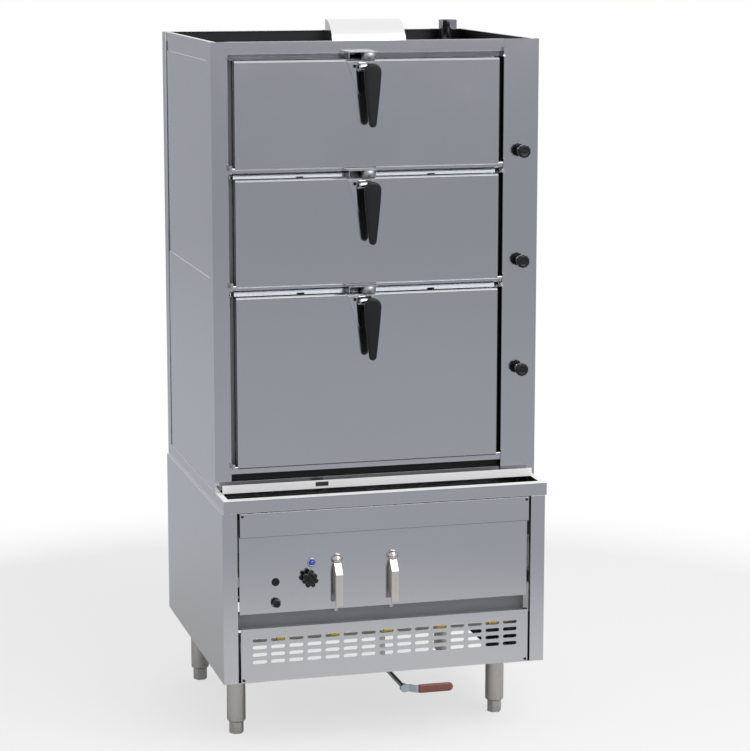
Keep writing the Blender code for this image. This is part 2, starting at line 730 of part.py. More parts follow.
def build_control_panel(root):
    """Control panel, folded back at its lower edge into the recessed baffle, with its holes."""
    x = (PANEL_LEFT_X, PANEL_RIGHT_X)
    path = [
        (PANEL_Y, PANEL_TOP_Z), (PANEL_Y, PANEL_LOW_Z),
        (BAFFLE_Y, PANEL_LOW_Z), (BAFFLE_Y, BAFFLE_LOW_Z),
    ]
    panel = prism(folded(path, SHEET), "X", x[0], x[1])
    holes = [
        (BUTTON_X, SWITCH_Z, SWITCH_RADIUS + CLEARANCE),
        (BUTTON_X, IGNITER_Z, IGNITER_STEM_RADIUS + CLEARANCE),
        (LAMP_X, LAMP_Z, LAMP_BODY_RADIUS + CLEARANCE),
        (GAS_KNOB_X, GAS_KNOB_Z, SHAFT_RADIUS + SHAFT_PLAY),
        (TAP_LEFT_X, TAP_Z, TAP_SHAFT_RADIUS + SHAFT_PLAY),
        (TAP_LEFT_X + TAP_PITCH, TAP_Z, TAP_SHAFT_RADIUS + SHAFT_PLAY),
    ]
    for hole_x, hole_z, radius in holes:
        cut(panel, rod("Y", (hole_x, hole_z), PANEL_Y - OVERRUN, PANEL_Y + OVERRUN, radius, PIPE_SIDES))
    for tap_x in (TAP_LEFT_X, TAP_LEFT_X + TAP_PITCH):
        cut(panel, rod("Z", (tap_x, SPOUT_Y), PANEL_LOW_Z - OVERRUN, PANEL_LOW_Z + OVERRUN,
                       SPOUT_RADIUS + CLEARANCE, PIPE_SIDES))
    name_piece(panel, "control_panel", "bright_steel", root)


def build_grille(root):
    """Vent grille with rows of round-ended slots, returns and corner screws."""
    x = (PANEL_LEFT_X, PANEL_RIGHT_X)
    back = TAB_FRONT_Y - CLEARANCE
    path = [(back, GRILLE_TOP_Z), (FASCIA_Y, GRILLE_TOP_Z), (FASCIA_Y, GRILLE_LOW_Z), (back, GRILLE_LOW_Z)]
    grille = prism(folded(path, SHEET), "X", x[0], x[1])
    bm = bmesh.new()
    reach = (SLOT_LENGTH - SLOT_HEIGHT) / 2
    for column in range(SLOT_COLUMNS):
        for row in range(SLOT_ROWS):
            slot_x = BASE_CENTRE_X + (column - (SLOT_COLUMNS - 1) / 2) * SLOT_PITCH_X
            slot_z = SLOT_TOP_ROW_Z - row * SLOT_PITCH_Z
            outline = arc((slot_x + reach, slot_z), SLOT_HEIGHT / 2, -90, 90, 4)
            outline += arc((slot_x - reach, slot_z), SLOT_HEIGHT / 2, 90, 270, 4)
            add_prism(bm, outline, "Y", FASCIA_Y - OVERRUN, FASCIA_Y + OVERRUN)
    cut(grille, link_mesh(bm))
    for end, side in zip(x, (1, -1)):
        for z in (GRILLE_LOW_Z + SCREW_INSET, GRILLE_TOP_Z - SCREW_INSET):
            join(grille, screw_head(end + side * SCREW_INSET, z, FASCIA_Y))
    name_piece(grille, "vent_grille", "bright_steel", root)


def build_gas_train(root):
    """Burner tubes on their crossbars, and the gas rail with its jets, feed and valve."""
    walls = (BASE_LEFT_X + SHEET + CLEARANCE, BASE_RIGHT_X - SHEET - CLEARANCE)
    places = [BURNER_X + (i - (BURNER_COUNT - 1) / 2) * BURNER_PITCH for i in range(BURNER_COUNT)]
    bar_top = BURNER_Z - BURNER_BORE
    bar_z = (bar_top - CROSSBAR_THICKNESS, bar_top)
    frame = box(walls, (CROSSBAR_FIRST_Y, CROSSBAR_FIRST_Y + CROSSBAR_WIDTH), bar_z)
    tubes = [rod("Y", (x, BURNER_Z), BURNER_START_Y, BURNER_END_Y, BURNER_RADIUS, PIPE_SIDES)
             for x in places]
    join(frame, *tubes)
    join(frame, box(walls, (CROSSBAR_SECOND_Y, CROSSBAR_SECOND_Y + CROSSBAR_WIDTH), bar_z))
    bores = [rod("Y", (x, BURNER_Z), BURNER_START_Y - OVERRUN, BURNER_START_Y + BURNER_BORE_DEPTH,
                 BURNER_BORE, PIPE_SIDES) for x in places]
    cut(frame, *bores)
    name_piece(frame, "burner_frame", "burner_iron", root)

    rail = rod("X", (GAS_RAIL_Y, BURNER_Z), walls[0], walls[1], GAS_RAIL_RADIUS, PIPE_SIDES)
    jets = [rod("Y", (x, BURNER_Z), GAS_RAIL_Y, GAS_RAIL_Y + JET_LENGTH, JET_RADIUS, SMALL_SIDES)
            for x in places]
    join(rail, *jets)
    join(rail, rod("Y", (FEED_X, BURNER_Z), GAS_RAIL_Y, BACK_Y, PIPE_RADIUS, PIPE_SIDES))
    join(rail, rod("Z", (GAS_KNOB_X, GAS_RAIL_Y), BURNER_Z, GAS_KNOB_Z, PIPE_RADIUS, PIPE_SIDES))
    half = GAS_VALVE_HALF
    join(rail, box((GAS_KNOB_X - half, GAS_KNOB_X + half), (GAS_VALVE_FRONT_Y, GAS_VALVE_BACK_Y),
                   (GAS_KNOB_Z - half, GAS_KNOB_Z + half)))
    name_piece(rail, "gas_rail", "brass", root)


def build_gas_knob(root):
    """Star-shaped gas knob with its shaft through the control panel."""
    holder = empty("gas_knob_turn", (GAS_KNOB_X, PANEL_Y, GAS_KNOB_Z), root)
    outline = []
    for i in range(STAR_STEPS):
        angle = math.tau * i / STAR_STEPS
        radius = STAR_RADIUS + STAR_LOBE * math.cos(STAR_POINTS * angle)
        outline.append((radius * math.sin(angle), radius * math.cos(angle)))
    back = -STAR_STANDOFF
    knob = prism(outline, "Y", back - STAR_THICKNESS, back)
    join(knob, rod("Y", (0, 0), back - WELD, -CLEARANCE, STAR_HUB_RADIUS))
    shaft_end = GAS_VALVE_FRONT_Y - CLEARANCE - PANEL_Y
    join(knob, rod("Y", (0, 0), -WELD - CLEARANCE, shaft_end, SHAFT_RADIUS, SMALL_SIDES))
    name_piece(knob, "gas_knob", "black_plastic", holder)


def build_buttons(root):
    """Flush switch button and standing igniter button, each held by a collar behind the panel."""
    collar_back = SHEET + CLEARANCE + BUTTON_COLLAR_DEPTH
    holder = empty("switch_button_press", (BUTTON_X, PANEL_Y, SWITCH_Z), root)
    switch = turned([
        (0, -collar_back), (SWITCH_RADIUS + BUTTON_COLLAR, -collar_back),
        (SWITCH_RADIUS + BUTTON_COLLAR, -SHEET - CLEARANCE), (SWITCH_RADIUS, -SHEET - CLEARANCE),
        (SWITCH_RADIUS, SWITCH_PROUD), (0, SWITCH_PROUD),
    ], PIPE_SIDES)
    name_piece(facing_front(switch, (0, 0, 0)), "switch_button", "black_plastic", holder)

    holder = empty("igniter_button_press", (BUTTON_X, PANEL_Y, IGNITER_Z), root)
    lift = BUTTON_TRAVEL + CLEARANCE
    stem = IGNITER_STEM_RADIUS
    igniter = turned([
        (0, -collar_back), (stem + BUTTON_COLLAR, -collar_back), (stem + BUTTON_COLLAR, -SHEET - CLEARANCE),
        (stem, -SHEET - CLEARANCE), (stem, lift), (IGNITER_RADIUS, lift),
        (IGNITER_RADIUS, IGNITER_PROUD - BUTTON_COLLAR), (IGNITER_RADIUS - BUTTON_COLLAR, IGNITER_PROUD),
        (0, IGNITER_PROUD),
    ], PIPE_SIDES)
    name_piece(facing_front(igniter, (0, 0, 0)), "igniter_button", "black_plastic", holder)


def build_lamp(root):
    """Indicator lamp: bezel, domed lens and body in one turned piece."""
    lens = LAMP_RADIUS - LAMP_BEZEL
    dome = LAMP_BEZEL + LAMP_DOME
    lamp = turned([
        (0, -LAMP_DEPTH), (LAMP_BODY_RADIUS, -LAMP_DEPTH), (LAMP_BODY_RADIUS, CLEARANCE),
        (LAMP_RADIUS, CLEARANCE), (LAMP_RADIUS, LAMP_BEZEL), (lens, LAMP_BEZEL + WELD),
        (lens * LAMP_FLAT_SHARE, dome), (0, dome),
    ], PIPE_SIDES)
    name_piece(facing_front(lamp, (0, 0, 0)), "indicator_lamp", "blue_lens", root, (LAMP_X, PANEL_Y, LAMP_Z))


def build_taps(root):
    """Two lever taps: body and spout behind the control panel, chrome lever in front."""
    for hand, x in (("left", TAP_LEFT_X), ("right", TAP_LEFT_X + TAP_PITCH)):
        half = TAP_BODY_HALF
        body = box((x - half, x + half), (TAP_BODY_FRONT_Y, TAP_BODY_BACK_Y), (TAP_Z - half, TAP_Z + half))
        join(body, rod("Z", (x, SPOUT_Y), SPOUT_LOW_Z, TAP_Z, SPOUT_RADIUS, PIPE_SIDES))
        tank_face = TANK_FRONT_Y - TANK_MARGIN - CLEARANCE
        join(body, rod("Y", (x, TAP_Z), TAP_BODY_BACK_Y - WELD, tank_face, SPOUT_RADIUS, PIPE_SIDES))
        name_piece(body, f"{hand}_tap_body", "satin_steel", root)

        holder = empty(f"{hand}_tap_turn", (x, PANEL_Y, TAP_Z), root)
        radius = TAP_HUB_RADIUS
        depth = TAP_HUB_DEPTH
        hub = turned([(0, CLEARANCE), (radius, CLEARANCE)]
                     + [(radius * math.cos(angle), depth * math.sin(angle) + CLEARANCE)
                        for angle in (math.radians(30), math.radians(60))]
                     + [(0, depth + CLEARANCE)])
        lever = facing_front(hub, (0, 0, 0))
        front = -TAP_LEVER_REACH
        path = [(-TAP_LEVER_ROOT, 0), (front, -TAP_LEVER_SLOPE), (front, -TAP_LEVER_LENGTH)]
        join(lever, prism(folded(path, TAP_LEVER_THICKNESS), "X", -TAP_LEVER_WIDTH / 2, TAP_LEVER_WIDTH / 2))
        shaft_end = TAP_BODY_FRONT_Y - CLEARANCE - PANEL_Y
        join(lever, rod("Y", (0, 0), -TAP_LEVER_ROOT, shaft_end, TAP_SHAFT_RADIUS, SMALL_SIDES))
        name_piece(lever, f"{hand}_tap_lever", "chrome", holder)


def build_drain(root):
    """Drain valve under the tank, and its long-stemmed lever with the vinyl grip."""
    half = DRAIN_VALVE_HALF
    y = DRAIN_VALVE_Y
    valve = box((DRAIN_X - half, DRAIN_X + half), (y - half, y + half), (DRAIN_Z - half, DRAIN_Z + half))
    join(valve, rod("Z", (DRAIN_X, y), DRAIN_Z, TANK_BOTTOM_Z - CLEARANCE, DRAIN_PIPE_RADIUS, PIPE_SIDES))
    outlet_end = y + half + DRAIN_OUTLET_LENGTH
    join(valve, rod("Y", (DRAIN_X, DRAIN_Z), y, outlet_end, DRAIN_PIPE_RADIUS, PIPE_SIDES))
    name_piece(valve, "drain_valve", "satin_steel", root)

    holder = empty("drain_lever_turn", (DRAIN_X, DRAIN_HUB_FRONT_Y, DRAIN_Z), root)
    stem_end = y - half - CLEARANCE - DRAIN_HUB_FRONT_Y
    lever = rod("Y", (0, 0), 0, DRAIN_HUB_LENGTH, DRAIN_HUB_RADIUS)
    join(lever, rod("Y", (0, 0), DRAIN_HUB_LENGTH - WELD, stem_end, DRAIN_STEM_RADIUS, PIPE_SIDES))
    nut_end = stem_end - DRAIN_NUT_LENGTH
    join(lever, rod("Y", (0, 0), nut_end - DRAIN_NUT_LENGTH, nut_end, DRAIN_NUT_RADIUS, 6))
    path = [
        (0, 0), (DRAIN_CRANK_START, 0), (DRAIN_CRANK_END, -DRAIN_CRANK), (DRAIN_PLATE_LENGTH, -DRAIN_CRANK),
    ]
    half_width = DRAIN_PLATE_WIDTH / 2
    join(lever, prism(folded(path, DRAIN_PLATE), "Z", -half_width, half_width))
    name_piece(lever, "drain_lever", "satin_steel", holder)

    middle = -DRAIN_CRANK + DRAIN_PLATE / 2
    round_end = GRIP_WIDTH / 2 + CLEARANCE + SHEET
    outline = [(GRIP_START, -round_end), (GRIP_START, round_end)]
    outline = outline[::-1] + arc((GRIP_END - round_end, 0), round_end, -90, 90, 8)
    grip = prism(outline, "Y", middle - GRIP_THICKNESS / 2, middle + GRIP_THICKNESS / 2)
    gap = CLEARANCE
    cut(grip, box((GRIP_START - OVERRUN, DRAIN_PLATE_LENGTH + gap),
                  (-DRAIN_CRANK - gap, -DRAIN_CRANK + DRAIN_PLATE + gap),
                  (-half_width - gap, half_width + gap)))
    name_piece(grip, "drain_grip", "red_vinyl", holder)


def build_stiles(root):
    """Front corner posts with the seal flanges, the hinge ears and the knob shaft holes."""
    posts = (("left", -1, UPPER_LEFT_X, OPENING_LEFT_X), ("right", 1, UPPER_RIGHT_X, OPENING_RIGHT_X))
    for hand, side, outer, inner in posts:
        flange_end = inner - side * SEAL_FLANGE
        path = [
            (outer, SIDE_RETURN), (outer, 0), (inner, 0), (inner, SEAL_PLANE_Y), (flange_end, SEAL_PLANE_Y),
        ]
        post = prism(folded(path, -side * SHEET), "Z", DECK_Z + CLEARANCE, TOP_Z)
        cap_top = TOP_Z - CLEARANCE
        join(post, box(sorted((outer - side * WELD, inner + side * WELD)), (WELD, HEM),
                       (cap_top - SHEET, cap_top)))
        ear_x = sorted((inner + side * WELD, inner - side * EAR_THICKNESS))
        for _, door_z, _ in DOORS:
            nose = HINGE_Y - EAR_NOSE
            step = HINGE_Y + EAR_NOSE
            low = door_z - EAR_DROP
            shelf = door_z + EAR_LIFT
            top = door_z + EAR_HEIGHT
            back = SEAL_PLANE_Y + WELD
            outline = [(nose, low), (step, low), (step, shelf), (back, shelf), (back, top), (nose, top)]
            join(post, prism(outline, "X", ear_x[0], ear_x[1]))
            hole = sorted((inner + side * OVERRUN, inner - side * (EAR_THICKNESS + OVERRUN)))
            pin = (HINGE_Y, door_z + HINGE_INSET)
            cut(post, rod("X", pin, hole[0], hole[1], PIN_RADIUS + CLEARANCE, SMALL_SIDES))
        if side > 0:
            for i in range(len(DOORS)):
                cut(post, rod("Y", (KNOB_X, KNOB_LOW_Z + i * KNOB_PITCH_Z), -OVERRUN, OVERRUN,
                              SHAFT_RADIUS + SHAFT_PLAY, SMALL_SIDES))
        name_piece(post, f"{hand}_stile", "bright_steel", root)


def build_upper_shell(root):
    """Back panel with its corner returns, and the stepped side panels tucked behind them."""
    path = [
        (UPPER_LEFT_X, BACK_Y - BACK_RETURN), (UPPER_LEFT_X, BACK_Y),
        (UPPER_RIGHT_X, BACK_Y), (UPPER_RIGHT_X, BACK_Y - BACK_RETURN),
    ]
    back = prism(folded(path, -SHEET), "Z", DECK_Z + CLEARANCE, TOP_Z)
    cap_top = TOP_Z - CLEARANCE
    join(back, box((UPPER_LEFT_X + WELD, UPPER_RIGHT_X - WELD), (BACK_Y - HEM, BACK_Y - WELD),
                   (cap_top - SHEET, cap_top)))
    cut(back, box((FLUE_LEFT_X - CLEARANCE, FLUE_LEFT_X + FLUE_WIDTH + CLEARANCE),
                  (BACK_Y - HEM - OVERRUN, FLUE_BACK_Y + CLEARANCE), (cap_top - OVERRUN, cap_top + OVERRUN)))
    name_piece(back, "upper_back_panel", "bright_steel", root)

    for hand, side, outer in (("left", -1, UPPER_LEFT_X), ("right", 1, UPPER_RIGHT_X)):
        low = outer - side * (SHEET + CLEARANCE)
        middle = low - side * PANEL_STEP
        high = middle - side * PANEL_STEP
        path = [
            (low, DECK_Z + CLEARANCE), (low, LOWER_SEAM_Z), (middle, LOWER_SEAM_Z), (middle, UPPER_SEAM_Z),
            (high, UPPER_SEAM_Z), (high, TOP_Z), (high - side * HEM, TOP_Z),
        ]
        panel = prism(folded(path, side * SHEET), "Y", PANEL_TUCK, BACK_Y - PANEL_TUCK)
        name_piece(panel, f"upper_{hand}_side", "bright_steel", root)


def rail_flanges(door_top, next_bottom):
    """Seal flanges of a rail, between the stiles' own flanges."""
    x = (OPENING_LEFT_X + SEAL_FLANGE + CLEARANCE, OPENING_RIGHT_X - SEAL_FLANGE - CLEARANCE)
    inside = (WEB_Y + SEAL_PLANE_Y) / 2
    flanges = []
    if next_bottom is not None:
        top = next_bottom + WEB_TOP_LIFT
        path = [(SEAL_PLANE_Y, top + RAIL_FLANGE), (SEAL_PLANE_Y, top), (inside, top)]
        flanges.append(prism(folded(path, SHEET), "X", x[0], x[1]))
    if door_top is not None:
        low = door_top + LIP_GAP
        path = [(inside, low), (SEAL_PLANE_Y, low), (SEAL_PLANE_Y, low - RAIL_FLANGE)]
        flanges.append(prism(folded(path, SHEET), "X", x[0], x[1]))
    return flanges


def keeper_parts(door_top):
    """Keeper bracket above a door: top plate, left leg and the drum that the latch pulls up to."""
    back = HEAD_RECESS + WELD
    left = DOOR_CENTRE_X - KEEPER_LEFT
    top = door_top + KEEPER_RISE
    plate = box((left, DOOR_CENTRE_X + KEEPER_RIGHT), (KEEPER_FRONT_Y, back), (top - KEEPER_PLATE, top))
    leg = box((left, left + KEEPER_PLATE), (KEEPER_FRONT_Y, back), (door_top + LIP_GAP + SHEET, top - WELD))
    drum = rod("Z", (DOOR_CENTRE_X, DRUM_Y), door_top + DRUM_GAP, top - WELD, DRUM_RADIUS)
    return plate, leg, drum


def build_rails(root):
    """Head rail, two divider rails and the bottom rail, each but the last with its door keeper."""
    x = (OPENING_LEFT_X + CLEARANCE, OPENING_RIGHT_X - CLEARANCE)
    back = SEAL_PLANE_Y - CLEARANCE
    bottoms = [z for _, z, _ in DOORS]
    tops = [z + height for _, z, height in DOORS]

    low = tops[0] + LIP_GAP
    face_low = TOP_Z - HEAD_FACE
    path = [
        (HEM, TOP_Z), (0, TOP_Z), (0, face_low), (HEAD_RECESS, face_low), (HEAD_RECESS, low + LIP_RISE),
        (LIP_FRONT_Y, low), (back, low),
    ]
    head = prism(folded(path, SHEET), "X", x[0], x[1])
    join(head, *rail_flanges(tops[0], None))
    for part in keeper_parts(tops[0]):
        join(head, part)
    name_piece(head, "head_rail", "bright_steel", root)

    for name, door_top, next_bottom in (("upper", tops[1], bottoms[0]), ("lower", tops[2], bottoms[1])):
        low = door_top + LIP_GAP
        top = next_bottom + WEB_TOP_LIFT
        path = [(back, top), (WEB_Y, top), (WEB_Y, low + LIP_RISE), (LIP_FRONT_Y, low), (back, low)]
        rail = prism(folded(path, SHEET), "X", x[0], x[1])
        join(rail, *rail_flanges(door_top, next_bottom))
        for part in keeper_parts(door_top):
            join(rail, part)
        name_piece(rail, f"{name}_divider_rail", "bright_steel", root)

    top = bottoms[2] + WEB_TOP_LIFT
    path = [
        (back, top), (WEB_Y, top), (WEB_Y, CHANNEL_TOP_Z), (CHANNEL_Y, CHANNEL_TOP_Z),
        (CHANNEL_Y, CHANNEL_LOW_Z), (APRON_Y, CHANNEL_LOW_Z), (APRON_Y, DECK_Z + CLEARANCE),
    ]
    rail = prism(folded(path, SHEET), "X", x[0], x[1])
    join(rail, *rail_flanges(None, bottoms[2]))
    name_piece(rail, "bottom_rail", "bright_steel", root)


def build_compartments(root):
    """Liner round the three compartments, the two floors between them, and the ceiling."""
    path = [
        (LINER_LEFT_X, LINER_FRONT_Y), (LINER_LEFT_X, LINER_BACK_Y),
        (LINER_RIGHT_X, LINER_BACK_Y), (LINER_RIGHT_X, LINER_FRONT_Y),
    ]
    liner = prism(folded(path, -SHEET), "Z", DECK_Z + CLEARANCE, LINER_TOP_Z)
    name_piece(liner, "compartment_liner", "dark_inside", root)

    gap = SHEET + CLEARANCE
    x = (LINER_LEFT_X + gap, LINER_RIGHT_X - gap)
    y = (LINER_FRONT_Y, LINER_BACK_Y - gap)
    for name, door_z in (("upper", TOP_DOOR_Z), ("lower", MIDDLE_DOOR_Z)):
        top = door_z - SHELF_DROP
        path = [(y[0], top - SHELF_TURN), (y[0], top), (y[1], top), (y[1], top - SHELF_TURN)]
        shelf = prism(folded(path, -SHEET), "X", x[0], x[1])
        name_piece(shelf, f"{name}_shelf", "dark_inside", root)

    inset = SHEET + CLEARANCE + PANEL_STEP + SHEET + CLEARANCE
    low = LINER_TOP_Z + CLEARANCE
    ceiling = box((UPPER_LEFT_X + inset, UPPER_RIGHT_X - inset), (LINER_FRONT_Y + HEM, LINER_BACK_Y),
                  (low, low + SHEET))
    for side, outer in ((-1, UPPER_LEFT_X), (1, UPPER_RIGHT_X)):
        corner = outer - side * (SIDE_RETURN + SHEET)
        cut(ceiling, box(sorted((outer + side * OVERRUN, corner)), (0, SIDE_RETURN + SHEET),
                         (low - OVERRUN, low + OVERRUN)))
    name_piece(ceiling, "ceiling_plate", "dark_inside", root)


def build_steam_valves(root):
    """Steam riser behind the right stile, its three valves, and their knobs on the stile."""
    heights = [KNOB_LOW_Z + i * KNOB_PITCH_Z for i in range(len(DOORS))]
    riser = rod("Z", (KNOB_X, RISER_Y), DECK_Z + CLEARANCE, heights[-1] + RISER_SPARE,
                RISER_RADIUS, PIPE_SIDES)
    half = VALVE_HALF
    for z in heights:
        join(riser, box((KNOB_X - half, KNOB_X + half), (VALVE_FRONT_Y, RISER_Y), (z - half, z + half)))
        join(riser, rod("X", (NIPPLE_Y, z), LINER_RIGHT_X + CLEARANCE, KNOB_X, NIPPLE_RADIUS, SMALL_SIDES))
    name_piece(riser, "steam_riser", "satin_steel", root)

    cap_back = KNOB_STANDOFF
    cap_front = KNOB_STANDOFF + KNOB_THICKNESS
    for (name, _, _), z in zip(DOORS, reversed(heights)):
        holder = empty(f"{name}_steam_knob_turn", (KNOB_X, 0, z), root)
        neck = KNOB_NECK_RADIUS
        knob = turned([
            (0, -VALVE_FRONT_Y + CLEARANCE), (SHAFT_RADIUS, -VALVE_FRONT_Y + CLEARANCE),
            (SHAFT_RADIUS, cap_back - KNOB_NECK_LENGTH), (neck, cap_back - KNOB_NECK_LENGTH),
            (neck, cap_back), (KNOB_RADIUS, cap_back), (KNOB_RADIUS, cap_front - KNOB_CHAMFER),
            (KNOB_RADIUS - KNOB_CHAMFER, cap_front), (0, cap_front),
        ])
        name_piece(facing_front(knob, (0, 0, 0)), f"{name}_steam_knob", "black_plastic", holder)


def build_flue(root):
    """Flue duct behind the liner, ending in a quarter-round hood that is open to the rear."""
    x = (FLUE_LEFT_X, FLUE_LEFT_X + FLUE_WIDTH)
    bend = (FLUE_FRONT_Y + HOOD_RADIUS, HOOD_TOP_Z - HOOD_RADIUS)
    outline = [(FLUE_BACK_Y, FLUE_LOW_Z), (FLUE_FRONT_Y, FLUE_LOW_Z)]
    outline += arc(bend, HOOD_RADIUS, 180, 90, 2 * ARC_STEPS) + [(FLUE_BACK_Y, HOOD_TOP_Z)]
    flue = prism(outline, "X", x[0], x[1])
    front = FLUE_FRONT_Y + SHEET
    back = FLUE_BACK_Y - SHEET
    low = FLUE_LOW_Z - OVERRUN
    inside = [(back, low), (front, low)] + arc(bend, HOOD_RADIUS - SHEET, 180, 90, 2 * ARC_STEPS)
    inside += [
        (FLUE_BACK_Y + OVERRUN, HOOD_TOP_Z - SHEET), (FLUE_BACK_Y + OVERRUN, TOP_Z + HOOD_LIP),
        (back, TOP_Z + HOOD_LIP),
    ]
    cut(flue, prism(inside, "X", x[0] + SHEET, x[1] - SHEET))
    name_piece(flue, "flue_duct", "bright_steel", root)

    top = TOP_Z + VENT_RISE
    bore = VENT_RADIUS - SHEET
    vent = rod("Z", (VENT_X, VENT_Y), DECK_Z + CLEARANCE, top, VENT_RADIUS)
    cut(vent, rod("Z", (VENT_X, VENT_Y), DECK_Z - OVERRUN, top + OVERRUN, bore))
    name_piece(vent, "vent_pipe", "satin_steel", root)


def door_outline(front, back, low, top, inset):
    """Side view of the door's outer pan, drawn in by an inset, with bevelled front edges."""
    top_bevel = DOOR_TOP_BEVEL + inset * BEVEL_INSET_SHARE
    low_bevel = DOOR_LOW_BEVEL + inset * BEVEL_INSET_SHARE
    return [
        (front + inset, low + low_bevel), (front + inset, top - top_bevel),
        (front + top_bevel, top - inset), (back - inset, top - inset), (back - inset, low + inset),
        (front + low_bevel, low + inset),
    ]


def make_door(height):
    """Hollow door with its rear plug and hinge pins; the origin lies on the hinge axis."""
    half = DOOR_WIDTH / 2
    front = -HINGE_INSET
    skirt = front + DOOR_SKIRT
    rear = front + DOOR_THICKNESS
    low = -HINGE_INSET
    top = low + height
    door = prism(door_outline(front, skirt, low, top, 0), "X", -half, half)
    plug = PLUG_INSET
    join(door, box((-half + plug, half - plug), (skirt - WELD, rear), (low + plug, top - plug)))
    cut(door, prism(door_outline(front, skirt, low, top, SHEET), "X", -half + SHEET, half - SHEET))
    wall = plug + SHEET
    cut(door, box((-half + wall, half - wall), (skirt - SHEET - OVERRUN, rear - SHEET),
                  (low + wall, top - wall)))
    middle = (front + skirt) / 2
    for x in (-half * VENT_SLOT_SHARE, half * VENT_SLOT_SHARE):
        cut(door, box((x - VENT_SLOT_LENGTH / 2, x + VENT_SLOT_LENGTH / 2),
                      (middle - VENT_SLOT_WIDTH / 2, middle + VENT_SLOT_WIDTH / 2),
                      (low - OVERRUN, low + OVERRUN)))
    join(door, rod("X", (0, 0), -half - DOOR_LEFT_GAP + WELD, -half + WELD, PIN_RADIUS, SMALL_SIDES))
    join(door, rod("X", (0, 0), half - WELD, half + DOOR_RIGHT_GAP - WELD, PIN_RADIUS, SMALL_SIDES))
    return door


def make_seal(height):
    """Rubber seal round the back of a door's plug, in the door's own frame."""
    half = DOOR_WIDTH / 2 - PLUG_INSET - SEAL_INSET
    low = -HINGE_INSET + PLUG_INSET + SEAL_INSET
    top = -HINGE_INSET + height - PLUG_INSET - SEAL_INSET
    y = (-HINGE_INSET + DOOR_THICKNESS + CLEARANCE, SEAL_PLANE_Y - CLEARANCE - HINGE_Y)
    seal = box((-half, half), y, (low, top))
    wide = SEAL_WIDTH
    return cut(seal, box((-half + wide, half - wide), (y[0] - OVERRUN, y[1] + OVERRUN),
                         (low + wide, top - wide)))


def make_latch_base():
    """Tapered plate on the door and the neck that carries the handle's pin; origin on the pin."""
    face = LATCH_REACH - CLEARANCE
    top = LATCH_PLATE_RISE
    tip = (NECK_OFFSET, top - LATCH_PLATE_LENGTH + LATCH_TIP_RADIUS)
    outline = [(NECK_OFFSET - LATCH_PLATE_HALF, top)]
    outline += arc(tip, LATCH_TIP_RADIUS, 200, 340, ARC_STEPS) + [(NECK_OFFSET + LATCH_PLATE_HALF, top)]
    base = prism(outline, "Y", face - LATCH_PLATE, face)
    root_y = face - WELD
    neck = [(root_y, -NECK_RADIUS - NECK_ROOT_RISE)] + arc((0, 0), NECK_RADIUS, 270, 90, 2 * ARC_STEPS)
    neck += [(root_y, top)]
    join(base, prism(neck, "X", NECK_OFFSET - NECK_WIDTH / 2, NECK_OFFSET + NECK_WIDTH / 2))
    reach = NECK_WIDTH / 2 + OVERRUN
    return cut(base, rod("X", (0, 0), NECK_OFFSET - reach, NECK_OFFSET + reach,
                         LATCH_PIN_RADIUS + CLEARANCE, PIPE_SIDES))


def make_latch_handle():
    """Black blade handle with its boss and pivot pin; the origin lies on the pin."""
    top = BLADE_RISE
    tip_radius = BLADE_TIP_WIDTH / 2
    half = BLADE_WIDTH / 2
    round_x = half - BLADE_SHOULDER
    tip_z = top - BLADE_LENGTH + tip_radius
    outline = arc((round_x, top - BLADE_SHOULDER), BLADE_SHOULDER, 0, 90, ARC_STEPS)
    outline += arc((-round_x, top - BLADE_SHOULDER), BLADE_SHOULDER, 90, 180, ARC_STEPS)
    outline += arc((0, tip_z), tip_radius, 190, 350, ARC_STEPS)
    front = -BLADE_OFFSET - BLADE_THICKNESS
    blade = prism(outline, "Y", front, -BLADE_OFFSET)
    soften(blade, BLADE_BEVEL, 2, lambda edge: all(abs(vert.co.y - front) < MERGE for vert in edge.verts))
    boss_left = NECK_OFFSET + NECK_WIDTH / 2 + CLEARANCE
    outline = arc((0, 0), BOSS_RADIUS, 90, -90, 2 * ARC_STEPS)
    outline += [(-BLADE_OFFSET - WELD, -BOSS_RADIUS), (-BLADE_OFFSET - WELD, BOSS_RADIUS)]
    join(blade, prism(outline, "X", boss_left, BOSS_RADIUS))
    pin_left = NECK_OFFSET - NECK_WIDTH / 2 - WELD
    join(blade, rod("X", (0, 0), pin_left, boss_left + WELD, LATCH_PIN_RADIUS, PIPE_SIDES))
    return blade


def build_doors(root):
    """The three drop-down doors, each with its seal, latch base and latch handle."""
    for name, door_z, height in DOORS:
        hinge = empty(f"{name}_door_hinge", (DOOR_CENTRE_X, HINGE_Y, door_z + HINGE_INSET), root)
        name_piece(make_door(height), f"{name}_door", "bright_steel", hinge)
        name_piece(make_seal(height), f"{name}_door_seal", "seal_rubber", hinge)
        pivot = (0, LATCH_Y - HINGE_Y, height - LATCH_DROP - HINGE_INSET)
        name_piece(make_latch_base(), f"{name}_latch_base", "chrome", hinge, pivot)
        pull = empty(f"{name}_latch_pull", pivot, hinge)
        name_piece(make_latch_handle(), f"{name}_latch_handle", "black_plastic", pull)


def main():
    """Build the whole cabinet under one root empty."""
    clear_scene()
    root = empty("steam_cabinet", (0, -(FOREMOST_Y + BACK_Y) / 2, 0))
    build_legs(root)
    build_base_sides(root)
    build_base_back(root)
    build_deck(root)
    build_tank(root)
    build_fascia(root)
    build_control_panel(root)
    build_grille(root)
    build_gas_train(root)
    build_gas_knob(root)
    build_buttons(root)
    build_lamp(root)
    build_taps(root)
    build_drain(root)
    build_stiles(root)
    build_upper_shell(root)
    build_rails(root)
    build_compartments(root)
    build_steam_valves(root)
    build_flue(root)
    build_doors(root)


main()
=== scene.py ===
"""Looks of a three-door gas steam cabinet: finishes, handles, knobs, levers, fittings and the studio."""

